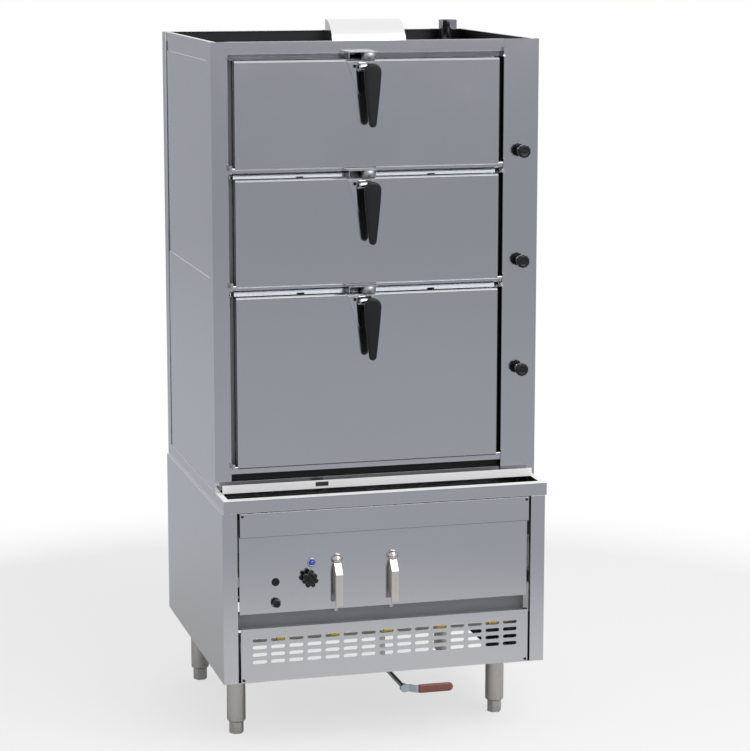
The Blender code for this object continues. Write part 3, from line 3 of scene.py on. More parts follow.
import json
import logging
import math
from collections.abc import Callable, Iterable, Sequence
from dataclasses import dataclass
from enum import Enum
from typing import ClassVar

import bmesh
import bpy
from mathutils import Matrix, Vector

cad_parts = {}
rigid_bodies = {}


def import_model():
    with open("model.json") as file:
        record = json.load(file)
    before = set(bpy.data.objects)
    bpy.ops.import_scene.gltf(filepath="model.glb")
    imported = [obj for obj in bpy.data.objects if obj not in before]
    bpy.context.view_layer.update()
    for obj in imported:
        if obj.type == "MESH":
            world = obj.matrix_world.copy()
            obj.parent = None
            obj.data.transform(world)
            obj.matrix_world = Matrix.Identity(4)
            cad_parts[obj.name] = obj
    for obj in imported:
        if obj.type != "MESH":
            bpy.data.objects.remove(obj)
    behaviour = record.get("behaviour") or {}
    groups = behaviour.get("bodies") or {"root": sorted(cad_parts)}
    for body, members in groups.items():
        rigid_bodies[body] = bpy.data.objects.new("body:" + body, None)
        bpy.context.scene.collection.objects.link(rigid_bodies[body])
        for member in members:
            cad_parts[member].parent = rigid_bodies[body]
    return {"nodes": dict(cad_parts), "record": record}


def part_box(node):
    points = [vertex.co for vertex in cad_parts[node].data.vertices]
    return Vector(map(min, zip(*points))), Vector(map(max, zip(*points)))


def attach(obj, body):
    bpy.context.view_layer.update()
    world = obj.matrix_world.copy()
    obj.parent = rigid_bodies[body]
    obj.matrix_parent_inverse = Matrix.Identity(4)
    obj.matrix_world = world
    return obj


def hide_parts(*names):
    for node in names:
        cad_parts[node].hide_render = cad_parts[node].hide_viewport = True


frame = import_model()

LOG = logging.getLogger("steam_cabinet")
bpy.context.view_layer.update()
ROOT = "cabinet"
DOORS = ("top", "middle", "bottom")
DOOR_RAILS = ("head_rail", "upper_divider_rail", "lower_divider_rail")

TINY = 1e-6
EDGE_ROUNDS = 2
EDGE_ANGLE = 35.0
SHADING_WEIGHT = 100

Colour = tuple[float, float, float]
Place = tuple[float, float, float]
Point = tuple[float, float]
Profile = tuple[Point, ...]
Ring = list[Vector]
Shape = Callable[[float], float]


class Axis(Enum):
    """Directions that a turned or drawn form is laid along."""

    RIGHT = Vector((1.0, 0.0, 0.0))
    FRONT = Vector((0.0, -1.0, 0.0))
    UP = Vector((0.0, 0.0, 1.0))

    def frame(self) -> tuple[Vector, Vector]:
        """Give the two directions across the axis."""
        if self is Axis.UP:
            return Vector((1.0, 0.0, 0.0)), Vector((0.0, 1.0, 0.0))
        if self is Axis.FRONT:
            return Vector((1.0, 0.0, 0.0)), Vector((0.0, 0.0, 1.0))
        return Vector((0.0, 1.0, 0.0)), Vector((0.0, 0.0, 1.0))


class Signal:
    """A shader output that adds, multiplies and compares like a number."""

    def __init__(self, graph: "Graph", socket: bpy.types.NodeSocket) -> None:
        """Wrap an output.

        Args:
            graph: The tree that the output belongs to.
            socket: The output itself.
        """
        self.graph = graph
        self.socket = socket

    def _join(self, operation: str, other: "Operand", swapped: bool = False) -> "Signal":
        """Combine this output with another operand.

        Args:
            operation: Name of the sum, as Math and Vector Math call it.
            other: The second operand.
            swapped: True where the other operand comes first.

        Returns:
            The output that holds the result.
        """
        first, second = (other, self) if swapped else (self, other)
        vector = self.socket.type == "VECTOR" or isinstance(other, tuple)
        kind = "ShaderNodeVectorMath" if vector else "ShaderNodeMath"
        return self.graph.node(kind, {"operation": operation}, {0: first, 1: second})

    def __add__(self, other: "Operand") -> "Signal":
        """Add."""
        return self._join("ADD", other)

    def __radd__(self, other: "Operand") -> "Signal":
        """Add to a plain number."""
        return self._join("ADD", other, True)

    def __sub__(self, other: "Operand") -> "Signal":
        """Subtract."""
        return self._join("SUBTRACT", other)

    def __rsub__(self, other: "Operand") -> "Signal":
        """Subtract from a plain number."""
        return self._join("SUBTRACT", other, True)

    def __mul__(self, other: "Operand") -> "Signal":
        """Multiply."""
        return self._join("MULTIPLY", other)

    def __rmul__(self, other: "Operand") -> "Signal":
        """Multiply a plain number."""
        return self._join("MULTIPLY", other, True)

    def __abs__(self) -> "Signal":
        """Drop the sign."""
        return self.graph.node("ShaderNodeMath", {"operation": "ABSOLUTE"}, {0: self})

    def most(self, other: "Operand") -> "Signal":
        """Give the larger of the two."""
        return self._join("MAXIMUM", other)

    def ramp(self, start: float, end: float, low: float = 0.0, high: float = 1.0) -> "Signal":
        """Turn a range of this output into a smooth step.

        Args:
            start: Value at which the step begins.
            end: Value at which it ends.
            low: Result up to the start.
            high: Result past the end.

        Returns:
            The stepped output.
        """
        return self.graph.node("ShaderNodeMapRange", {"interpolation_type": "SMOOTHSTEP"},
                               {0: self, 1: start, 2: end, 3: low, 4: high})


Operand = Signal | float | tuple[float, ...]


@dataclass(frozen=True)
class Pattern:
    """A soft random pattern: features to a metre, octaves, the share that each keeps, and a stretch."""

    scale: float
    detail: float = 3.0
    rough: float = 0.5
    stretch: Place | None = None


@dataclass(frozen=True)
class Patch:
    """A box in which a sheet looks unlike the rest: painted shade in a recess or gap, or a painted
    reflection.

    The border is the width over which it fades. The share is how much of the sheet's colour painted shade
    keeps, where that is more than the finish gives.
    """

    low: Place
    high: Place
    border: float = 0.0003
    share: float = 0.0


class Graph:
    """A shader tree that is written in sums instead of nodes."""

    first_colour = 6
    second_colour = 7
    mixed_colour = 2

    def __init__(self, tree: bpy.types.NodeTree) -> None:
        """Empty a tree and take it over.

        Args:
            tree: The tree of a material or of the world.
        """
        self.tree = tree
        tree.nodes.clear()

    def feed(self, socket: bpy.types.NodeSocket, value: Operand) -> None:
        """Set an input to a constant, or link it.

        Args:
            socket: The input.
            value: A number, a colour, a direction or another node's output.
        """
        if isinstance(value, Signal):
            self.tree.links.new(value.socket, socket)
        elif isinstance(value, tuple) and socket.type == "RGBA":
            socket.default_value = (*value[:3], 1.0)
        else:
            socket.default_value = value

    def node(self, kind: str, settings: dict[str, object] | None = None,
             inputs: dict[int | str, Operand] | None = None, output: int | str = 0) -> Signal:
        """Add any node.

        Args:
            kind: Blender's name of the node type.
            settings: Options, which are set before the inputs.
            inputs: Constants and links by input name or number.
            output: Name or number of the output to give back.

        Returns:
            The chosen output.
        """
        made = self.tree.nodes.new(kind)
        for key, value in (settings or {}).items():
            setattr(made, key, value)
        for key, value in (inputs or {}).items():
            self.feed(made.inputs[key], value)
        return Signal(self, made.outputs[output])

    def end(self, kind: str, shader: Signal) -> None:
        """Close the tree with an output node of a kind, fed by a shader."""
        self.feed(self.tree.nodes.new(kind).inputs["Surface"], shader)

    def place(self) -> Signal:
        """Give the point on the surface, in metres, which rides with the piece."""
        return self.node("ShaderNodeTexCoord", output="Object")

    def noise(self, at: Signal, pattern: Pattern) -> Signal:
        """Read a soft random pattern.

        Args:
            at: Where it is read.
            pattern: Its scale, octaves and stretch.

        Returns:
            The pattern, from 0 to 1.
        """
        spot = at * pattern.stretch if pattern.stretch else at
        return self.node("ShaderNodeTexNoise", {"noise_dimensions": "3D"}, {
            "Vector": spot, "Scale": pattern.scale, "Detail": pattern.detail, "Roughness": pattern.rough})

    def cells(self, at: Signal, scale: float) -> Signal:
        """Give the distance to the nearest of many scattered points, each a cell's middle."""
        return self.node("ShaderNodeTexVoronoi", {"feature": "F1"}, {"Vector": at, "Scale": scale})

    def tint(self, factor: Operand, first: Operand, second: Operand) -> Signal:
        """Fade from one colour to another.

        Args:
            factor: 0 gives the first colour, 1 the second.
            first: Colour at 0.
            second: Colour at 1.

        Returns:
            The colour.
        """
        return self.node("ShaderNodeMix", {"data_type": "RGBA", "clamp_factor": True},
                         {0: factor, self.first_colour: first, self.second_colour: second}, self.mixed_colour)

    def inside(self, at: Signal, patch: Patch) -> Signal:
        """Say where a point lies in a patch.

        Args:
            at: The point on the surface.
            patch: The box that holds the patch.

        Returns:
            1 inside, 0 outside, with a narrow soft border.
        """
        far = None
        split = self.node("ShaderNodeSeparateXYZ", None, {0: at}).socket.node
        for i, (low, high) in enumerate(zip(patch.low, patch.high)):
            beyond = abs(Signal(self, split.outputs[i]) - (low + high) / 2) - (high - low) / 2
            far = beyond if far is None else far.most(beyond)
        return far.ramp(-patch.border, patch.border, 1.0, 0.0)

    def finish(self, skin: "Skin") -> None:
        """Wire a skin to a surface shader and the shader to the output.

        Args:
            skin: What the surface looks like.
        """
        inputs: dict[int | str, Operand] = {
            "Base Color": skin.colour, "Roughness": skin.roughness, "Metallic": skin.metallic,
            "IOR": skin.ior, "Coat Weight": skin.coat, "Coat Roughness": skin.coat_roughness,
        }
        if skin.glow is not None:
            inputs["Emission Color"] = skin.glow
            inputs["Emission Strength"] = 1.0
        if skin.relief is not None:
            inputs["Normal"] = self.node("ShaderNodeBump", None, {
                "Strength": 1.0, "Distance": skin.depth, "Height": skin.relief}, "Normal")
        shader = self.node("ShaderNodeBsdfPrincipled", None, inputs)
        self.end("ShaderNodeOutputMaterial", shader)


@dataclass(frozen=True)
class Skin:
    """How a surface looks, point by point."""

    colour: Operand
    roughness: Operand
    metallic: Operand = 0.0
    relief: Signal | None = None
    depth: float = 0.0
    glow: Operand | None = None
    ior: float = 1.5
    coat: float = 0.0
    coat_roughness: float = 0.1


@dataclass(frozen=True)
class Finish:
    """A finish that a maker gives a piece."""

    name: str
    slot: str
    colour: Colour
    roughness: float

    def skin(self, graph: Graph) -> Skin:
        """Give the look of the finish, to be said by each kind of finish."""
        raise NotImplementedError

    def shaded(self, share: float) -> Colour:
        """Give the colour made darker or lighter by a share."""
        red, green, blue = self.colour
        return red * share, green * share, blue * share

    def varied(self, graph: Graph, tone: Signal, darkest: float, lightest: float) -> Signal:
        """Spread the colour over a pattern.

        Args:
            graph: The tree that is being built.
            tone: The pattern, from 0 to 1.
            darkest: Share of the colour at 0.
            lightest: Share of the colour at 1.

        Returns:
            The varied colour.
        """
        return graph.tint(tone, self.shaded(darkest), self.shaded(lightest))

    def spotted(self, graph: Graph, colour: Operand, spots: Signal, strength: float, share: float) -> Signal:
        """Lay spots of another tone over a colour.

        Args:
            graph: The tree that is being built.
            colour: The colour below.
            spots: Where the spots are, from 0 to 1.
            strength: How much of them shows.
            share: Share of the finish's colour that a spot has.

        Returns:
            The spotted colour.
        """
        return graph.tint(spots * strength, colour, self.shaded(share))

    def material(self) -> bpy.types.Material:
        """Give the material of this finish, built once."""
        found = bpy.data.materials.get(self.name)
        if found is None:
            found = bpy.data.materials.new(self.name)
            found.use_nodes = True
            graph = Graph(found.node_tree)
            graph.finish(self.skin(graph))
            found.diffuse_color = (*self.colour, 1.0)
        return found


@dataclass(frozen=True)
class SheetSteel(Finish):
    """Bright rolled stainless sheet with a fine lengthwise grain and faint hand marks.

    Boxes of it are darkened as painted shade in recesses and gaps, or turned white as painted reflection.
    """

    grain: float = 0.03
    marks: float = 0.05
    wave: float = 0.00012
    # Boxes darkened as painted shade, the share of colour they keep, and the roughness they add.
    hollows: tuple[Patch, ...] = ()
    hollow_share: float = 0.05
    hollow_rough: float = 0.25
    # Boxes turned a flat, non-metal white as painted reflection, with that white and the roughness it adds.
    pales: tuple[Patch, ...] = ()
    pale: Colour = (0.90, 0.90, 0.905)
    reflection_rough: float = 0.25
    fine_grain: ClassVar[Pattern] = Pattern(1.0, 4.0, 0.6, (6.0, 6.0, 520.0))
    clouds: ClassVar[Pattern] = Pattern(3.2, 4.0, 0.55)
    smears: ClassVar[Pattern] = Pattern(17.0, 3.0, 0.6, (1.0, 1.0, 0.45))
    swells: ClassVar[Pattern] = Pattern(2.6, 1.0, 0.4)

    @classmethod
    def bright(cls, name: str, roughness: float = 0.075, **options: object) -> "SheetSteel":
        """Give the cabinet's bright sheet with what one panel needs.

        Args:
            name: Name of the finish.
            roughness: Its roughness.
            options: Boxes of painted shade and of painted reflection, and their tones.

        Returns:
            The finish.
        """
        return cls(name, "bright_steel", (0.555, 0.563, 0.582), roughness, **options)

    def skin(self, graph: Graph) -> Skin:
        """Give the look of the sheet."""
        at = graph.place()
        fine = graph.noise(at, self.fine_grain)
        cloud = graph.noise(at, self.clouds)
        smear = graph.noise(at, self.smears).ramp(0.52, 0.78)
        rough = self.roughness + fine * self.grain + cloud * self.marks + smear * (self.marks * 0.5)
        colour = self.varied(graph, cloud * 0.55 + fine * 0.45, darkest=0.955, lightest=1.035)
        colour = self.spotted(graph, colour, smear, strength=0.10, share=0.88)
        metal: Operand = 1.0
        # Painted reflection: inside each box the sheet turns white and stops being metal, standing in for a
        # bright reflection.
        for edge in self.pales:
            bright = graph.inside(at, edge)
            colour = graph.tint(bright, colour, self.pale)
            rough = rough + bright * self.reflection_rough
            metal = metal - bright
        # Painted shade: the sheet darkens inside each box round a recess, gap or slot.
        for hollow in self.hollows:
            dark = graph.inside(at, hollow)
            colour = graph.tint(dark, colour, self.shaded(max(self.hollow_share, hollow.share)))
            rough = rough + dark * self.hollow_rough
        swell = graph.noise(at, self.swells)
        return Skin(colour, rough, metal, swell + fine * 0.004, self.wave)


@dataclass(frozen=True)
class TurnedSteel(Finish):
    """Satin tube or turned metal with the rings that the polishing belt leaves."""

    rings: Place = (30.0, 30.0, 900.0)
    ring_depth: float = 0.00006
    clouds: ClassVar[Pattern] = Pattern(22.0, 4.0, 0.6)
    stains: ClassVar[Pattern] = Pattern(70.0, 2.0, 0.5)

    def skin(self, graph: Graph) -> Skin:
        """Give the look of the satin metal."""
        at = graph.place()
        ring = graph.noise(at, Pattern(1.0, 3.0, 0.65, self.rings))
        cloud = graph.noise(at, self.clouds)
        stain = graph.noise(at, self.stains).ramp(0.58, 0.72)
        colour = self.varied(graph, ring * 0.6 + cloud * 0.4, darkest=0.84, lightest=1.08)
        colour = self.spotted(graph, colour, stain, strength=0.25, share=0.72)
        rough = self.roughness + ring * 0.10 + cloud * 0.08
        return Skin(colour, rough, 1.0, ring + cloud * 0.5, self.ring_depth)


@dataclass(frozen=True)
class CastMetal(Finish):
    """Plated or polished casting with soft hollows, pin holes and rubbed edges."""

    lumps: float = 0.00005
    spots: float = 0.15
    pin_holes: float = 900.0
    clouds: ClassVar[Pattern] = Pattern(45.0, 3.0, 0.55)
    scuffs: ClassVar[Pattern] = Pattern(260.0, 3.0, 0.7, (1.0, 1.0, 3.0))

    def skin(self, graph: Graph) -> Skin:
        """Give the look of the casting."""
        at = graph.place()
        cloud = graph.noise(at, self.clouds)
        scuff = graph.noise(at, self.scuffs)
        pits = graph.cells(at, self.pin_holes).ramp(0.05, 0.18, 1.0, 0.0)
        colour = self.varied(graph, cloud, darkest=0.90, lightest=1.05)
        colour = self.spotted(graph, colour, pits, strength=self.spots, share=0.5)
        rough = self.roughness + scuff * 0.08 + cloud * 0.05 + pits * self.spots
        return Skin(colour, rough, 1.0, cloud - pits * 0.4, self.lumps)


@dataclass(frozen=True)
class Moulded(Finish):
    """Moulded plastic or rubber with a fine pebble and places rubbed smooth by hands."""

    pebble: float = 0.00006
    pebble_scale: float = 1500.0
    rubbed: float = 0.12
    coat: float = 0.0
    coat_roughness: float = 0.25
    ior: float = 1.5
    clouds: ClassVar[Pattern] = Pattern(38.0, 4.0, 0.6)
    scuffs: ClassVar[Pattern] = Pattern(210.0, 4.0, 0.7, (1.0, 1.0, 0.35))

    def skin(self, graph: Graph) -> Skin:
        """Give the look of the moulding."""
        at = graph.place()
        grain = graph.cells(at, self.pebble_scale)
        cloud = graph.noise(at, self.clouds)
        scuff = graph.noise(at, self.scuffs).ramp(0.56, 0.80)
        colour = self.varied(graph, cloud, darkest=0.80, lightest=1.25)
        colour = self.spotted(graph, colour, scuff, strength=0.22, share=2.1)
        rough = self.roughness - cloud * self.rubbed + scuff * 0.10
        return Skin(colour, rough, 0.0, grain + cloud * 0.6, self.pebble, ior=self.ior, coat=self.coat,
                    coat_roughness=self.coat_roughness)


@dataclass(frozen=True)
class Lens(Finish):
    """Coloured signal lens with ribs inside and a clear skin."""

    glow: float = 0.10
    rib_scale: float = 620.0
    rib_depth: float = 0.00004
    clouds: ClassVar[Pattern] = Pattern(160.0, 2.0, 0.5)

    def skin(self, graph: Graph) -> Skin:
        """Give the look of the lens."""
        at = graph.place()
        ribs = graph.cells(at, self.rib_scale)
        cloud = graph.noise(at, self.clouds)
        colour = self.varied(graph, ribs, darkest=0.7, lightest=1.25)
        light = self.varied(graph, cloud, darkest=self.glow * 0.7, lightest=self.glow * 1.3)
        return Skin(colour, self.roughness + cloud * 0.06, 0.0, ribs, self.rib_depth, glow=light, ior=1.49,
                    coat=0.8, coat_roughness=0.04)


@dataclass(frozen=True)
class Iron(Finish):
    """Heat-stained iron with scale and rust bloom."""

    rust: Colour = (0.20, 0.09, 0.045)
    scale_depth: float = 0.0003
    scales: ClassVar[Pattern] = Pattern(130.0, 5.0, 0.7)
    blooms: ClassVar[Pattern] = Pattern(24.0, 4.0, 0.6)

    def skin(self, graph: Graph) -> Skin:
        """Give the look of the iron."""
        at = graph.place()
        scale = graph.noise(at, self.scales)
        bloom = graph.noise(at, self.blooms).ramp(0.50, 0.72)
        colour = graph.tint(bloom * 0.45, self.varied(graph, scale, darkest=0.6, lightest=1.5), self.rust)
        return Skin(colour, self.roughness + scale * 0.2, 0.55 - bloom * 0.4, scale, self.scale_depth)


class Finishes:
    """Every finish of the cabinet."""

    # Boxes of painted shade: the top recess and the fold under the head rail, the gutter trough, the door
    # gaps, the channel under the bottom door, the band under the panel's overhang, the side slits and the
    # overflow slot; the fascia's hem gets a dark line.
    recess = Patch((-0.4422, -0.2560, 1.8400), (0.4467, 0.4164, 1.9036))
    head_fold = Patch((-0.4422, -0.2822, 1.8845), (0.4467, -0.2560, 1.9036))
    trough = Patch((-0.4330, -0.3655, 0.6100), (0.4370, -0.2760, 0.7036))
    left_gap = Patch((-0.4040, -0.2774, 0.7062), (-0.3880, -0.2300, 1.8600), share=0.30)
    left_return = Patch((-0.3990, -0.2774, 0.7062), (-0.3880, -0.2300, 1.8600), share=0.75)
    right_gap = Patch((0.3335, -0.2774, 0.7062), (0.3555, -0.2300, 1.8600))
    channel = Patch((-0.4040, -0.2700, 0.7280), (0.3550, -0.2500, 0.7570))
    baffle = Patch((-0.4400, -0.3790, 0.3350), (0.4400, -0.3500, 0.3910))
    left_slit = Patch((-0.4135, -0.3920, 0.2040), (-0.4045, -0.2000, 0.6700))
    right_slit = Patch((0.4000, -0.3920, 0.2040), (0.4090, -0.2000, 0.6700))
    # Boxes of painted reflection: the deck's top edge and the flashing's face.
    deck_top = Patch((-0.4600, -0.4000, 0.7052), (0.4600, 0.4300, 0.7085))
    flashing_face = Patch((-0.4500, -0.3200, 0.7000), (0.4500, -0.3000, 0.7400))
    fascia_hem = Patch((-0.4100, -0.4000, 0.6020), (0.4100, -0.3700, 0.6046))
    overflow = Patch((-0.1770, -0.3200, 0.7130), (-0.1410, -0.3000, 0.7250))

    sheet = SheetSteel.bright("bright_sheet")
    shell = SheetSteel.bright("bright_shell", hollows=(recess, head_fold))
    stile = SheetSteel.bright("bright_stile", hollows=(recess, head_fold, left_gap, left_return, right_gap))
    deck = SheetSteel.bright("bright_deck", hollows=(trough,), pales=(deck_top,))
    rear = SheetSteel("dull_rear", "satin_steel", (0.50, 0.505, 0.515), 0.24, 0.05, 0.10)
    # The flashing's face is painted white as a reflection, and its overflow slot is painted dark as shade.
    flashing = SheetSteel.bright("pale_flashing", 0.20, hollows=(overflow,), pales=(flashing_face,))
    sill = SheetSteel.bright("bright_sill", 0.20, hollows=(channel,))
    panel = SheetSteel.bright("bright_panel", hollows=(baffle,), hollow_share=0.50, hollow_rough=0.50)
    fascia = SheetSteel.bright("bright_fascia", hollows=(fascia_hem,), hollow_share=0.40)
    cheek = SheetSteel.bright("bright_cheek", hollows=(left_slit, right_slit), hollow_share=0.15)
    # The hood is a much lighter copy of the bright steel: steel, with extra whiteness painted in as
    # reflection.
    hood = SheetSteel("pale_hood", "bright_steel", (0.86, 0.86, 0.865), 0.16)
    plate = SheetSteel("bright_plate", "chrome", (0.60, 0.61, 0.635), 0.05, 0.02, 0.03)
    inner = SheetSteel("mill_sheet", "inner_steel", (0.36, 0.36, 0.37), 0.30, 0.05, 0.12, 0.0002)
    # The recess's ceiling is a near-black copy of the inner sheet: painted shade for the top recess.
    ceiling = SheetSteel("dull_ceiling", "inner_steel", (0.05, 0.05, 0.052), 0.45, 0.05, 0.10, 0.0002)
    satin = TurnedSteel("satin_tube", "satin_steel", (0.50, 0.485, 0.465), 0.30)
    polished = SheetSteel("polished_pipe", "satin_steel", (0.42, 0.42, 0.44), 0.03, 0.02, 0.02)
    drum = TurnedSteel("turned_drum", "chrome", (0.36, 0.36, 0.375), 0.30, (60.0, 60.0, 900.0))
    pipe = TurnedSteel("dull_pipe", "brass", (0.42, 0.405, 0.385), 0.32, (900.0, 30.0, 30.0))
    bezel = CastMetal("lamp_bezel_plate", "chrome", (0.33, 0.36, 0.43), 0.28)
    zinc = TurnedSteel("zinc_plate", "satin_steel", (0.40, 0.46, 0.50), 0.30, (400.0, 40.0, 40.0))
    chrome = CastMetal("chrome_cast", "chrome", (0.74, 0.74, 0.75), 0.05)
    dome = CastMetal("dome_plate", "chrome", (0.50, 0.47, 0.45), 0.04)
    nickel = CastMetal("nickel_lever", "chrome", (0.72, 0.675, 0.63), 0.12)
    brass = CastMetal("raw_brass", "brass", (0.72, 0.52, 0.16), 0.22, 0.0001, 0.3)
    iron = Iron("burner_scale", "burner_iron", (0.13, 0.125, 0.12), 0.60)
    black = Moulded("black_moulding", "black_plastic", (0.0080, 0.0083, 0.0088), 0.40, ior=1.33)
    screw = Moulded("black_screw", "black_plastic", (0.0085, 0.0085, 0.0090), 0.38, ior=1.35)
    rubber = Moulded("seal_skin", "seal_rubber", (0.022, 0.022, 0.022), 0.75, 0.0001, 900.0)
    vinyl = Moulded("grip_vinyl", "red_vinyl", (0.170, 0.052, 0.036), 0.46, 0.00008, 700.0, coat=0.1)
    lens = Lens("signal_lens", "blue_lens", (0.045, 0.055, 0.55), 0.10)
    by_slot = {
        "bright_steel": sheet, "satin_steel": satin, "inner_steel": inner, "chrome": plate, "brass": brass,
        "burner_iron": iron, "black_plastic": black, "seal_rubber": rubber, "blue_lens": lens,
        "red_vinyl": vinyl,
    }
    by_node = {
        "left_stile": stile, "right_stile": stile, "head_rail": shell, "upper_back_panel": shell,
        "upper_left_side": shell, "upper_right_side": shell, "gutter_deck": deck, "bottom_rail": sill,
        "control_panel": panel, "fascia_strip": fascia, "base_back_panel": rear, "base_left_side": cheek,
        "base_right_side": cheek, "flue_duct": hood, "vent_pipe": polished, "gas_rail": pipe,
        "ceiling_plate": ceiling, "drain_lever": zinc,
    }


def soften(piece: bpy.types.Object, width: float) -> None:
    """Round a piece's edges and even out its shading.

    Args:
        piece: The piece.
        width: Width of the rounding.
    """
    edge = piece.modifiers.new("soft_edges", "BEVEL")
    edge.width = width
    edge.segments = EDGE_ROUNDS
    edge.limit_method = "ANGLE"
    edge.angle_limit = math.radians(EDGE_ANGLE)
    even = piece.modifiers.new("even_shading", "WEIGHTED_NORMAL")
    even.keep_sharp = False
    even.weight = SHADING_WEIGHT


class Form:
    """A closed shape that is drawn as a row of rings."""

    def __init__(self, name: str) -> None:
        """Start an empty shape.

        Args:
            name: Name of the piece.
        """
        self.name = name
        self.mesh = bmesh.new()

    def loft(self, rings: Sequence[Ring]) -> "Form":
        """Skin a row of rings and close both ends.

        Args:
            rings: Rings that all hold the same number of points.

        Returns:
            The form itself.
        """
        rows = [[self.mesh.verts.new(point) for point in ring] for ring in rings]
        count = len(rows[0])
        for first, second in zip(rows, rows[1:]):
            for i in range(count):
                j = (i + 1) % count
                self.mesh.faces.new((first[i], first[j], second[j], second[i]))
        self.mesh.faces.new(rows[0][::-1])
        self.mesh.faces.new(rows[-1])
        return self

    def turn(self, axis: Axis, foot: Vector, profile: Iterable[Point], sides: int = 48,
             shape: Shape | None = None) -> "Form":
        """Turn a profile round an axis.

        Args:
            axis: Direction of the axis.
            foot: Point on the axis from which heights are counted.
            profile: Height along the axis and radius, in the order they are met.
            sides: Points on each ring.
            shape: Gives the share of the radius at an angle, for lobes and flutes.

        Returns:
            The form itself.
        """
        across, up = axis.frame()
        rings = []
        for height, radius in profile:
            ring = []
            for i in range(sides):
                angle = math.tau * i / sides
                reach = radius * (shape(angle) if shape else 1.0)
                ring.append(foot + axis.value * height
                            + across * (reach * math.cos(angle)) + up * (reach * math.sin(angle)))
            rings.append(ring)
        return self.loft(rings)

    def hoop(self, axis: Axis, foot: Vector, profile: Sequence[Point], sides: int = 48) -> "Form":
        """Turn a closed section round an axis, which leaves a hole in the middle.

        Args:
            axis: Direction of the axis.
            foot: Point on the axis from which heights are counted.
            profile: Height and radius of each corner of the section.
            sides: Sections on the hoop.

        Returns:
            The form itself.
        """
        across, up = axis.frame()
        rows = []
        for i in range(sides):
            angle = math.tau * i / sides
            out = across * math.cos(angle) + up * math.sin(angle)
            rows.append([self.mesh.verts.new(foot + axis.value * h + out * r) for h, r in profile])
        for i in range(sides):
            first, second = rows[i], rows[(i + 1) % sides]
            for j in range(len(profile)):
                k = (j + 1) % len(profile)
                self.mesh.faces.new((first[j], first[k], second[k], second[j]))
        return self

    def prism(self, axis: Axis, outline: Iterable[Point], low: float, high: float, foot: Vector) -> "Form":
        """Push an outline straight along an axis.

        Args:
            axis: Direction of the push.
            outline: Points across the axis.
            low: Start along the axis.
            high: End along the axis.
            foot: Point from which all of them are counted.

        Returns:
            The form itself.
        """
        across, up = axis.frame()
        points = [foot + across * a + up * b for a, b in outline]
        return self.loft([[p + axis.value * low for p in points], [p + axis.value * high for p in points]])

    def place(self, body: str, finish: Finish, replaces: str | None = None, bevel: float = 0.0) -> None:
        """Turn the shape into a piece of the cabinet.

        Args:
            body: Body of the frame that it rides on.
            finish: Finish that it gets.
            replaces: Frame node that it stands for.
            bevel: Width of its softened edges, or 0 for none.
        """
        bmesh.ops.remove_doubles(self.mesh, verts=self.mesh.verts, dist=TINY)
        bmesh.ops.recalc_face_normals(self.mesh, faces=self.mesh.faces)
        data = bpy.data.meshes.new(self.name)
        self.mesh.to_mesh(data)
        self.mesh.free()
        data.shade_smooth()
        data.materials.append(finish.material())
        piece = bpy.data.objects.new(self.name, data)
        bpy.context.scene.collection.objects.link(piece)
        if bevel:
            soften(piece, bevel)
        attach(piece, body)
        if replaces:
            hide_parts(replaces)
        LOG.info("piece %s rides on %s", self.name, body)


def arc(centre: Point, radius: float, first: float, last: float, steps: int) -> list[Point]:
    """Give the points of an arc.

    Args:
        centre: Middle of the arc.
        radius: Its radius.
        first: First angle in degrees.
        last: Last angle in degrees.
        steps: Number of chords.

    Returns:
        The points, ends included.
    """
    angles = [math.radians(first + (last - first) * i / steps) for i in range(steps + 1)]
    return [(centre[0] + radius * math.cos(a), centre[1] + radius * math.sin(a)) for a in angles]


@dataclass(frozen=True)
class Dresser:
    """Gives the frame's own nodes their soft edges and finishes."""

    sheet_edge: float = 0.00045
    solid_edge: float = 0.0008
    weld_gap: float = 1e-5
    solid: tuple[str, ...] = ("leg_", "foot_", "burner", "gas_rail", "drain", "latch_base", "steam_riser",
                              "tap_body")

    def dress(self, node: bpy.types.Object, finish: Finish) -> None:
        """Finish one node of the frame.

        Args:
            node: The node's object.
            finish: Its finish.
        """
        weld = node.modifiers.new("joined_faces", "WELD")
        weld.merge_threshold = self.weld_gap
        solid = any(mark in node.name for mark in self.solid)
        soften(node, self.solid_edge if solid else self.sheet_edge)
        for place in node.material_slots:
            place.material = finish.material()

    def run(self) -> None:
        """Finish every node of the frame by its slot."""
        slots = {part["node"]: part["material_slot"] for part in frame["record"]["subparts"]}
        for name, node in frame["nodes"].items():
            self.dress(node, Finishes.by_node.get(name, Finishes.by_slot[slots[name]]))
        LOG.info("dressed %d nodes of the frame", len(frame["nodes"]))


class SubAssembly:
    """A group of pieces that is built in one go."""

    def build(self) -> None:
        """Build the pieces, to be said by each sub-assembly."""
        raise NotImplementedError


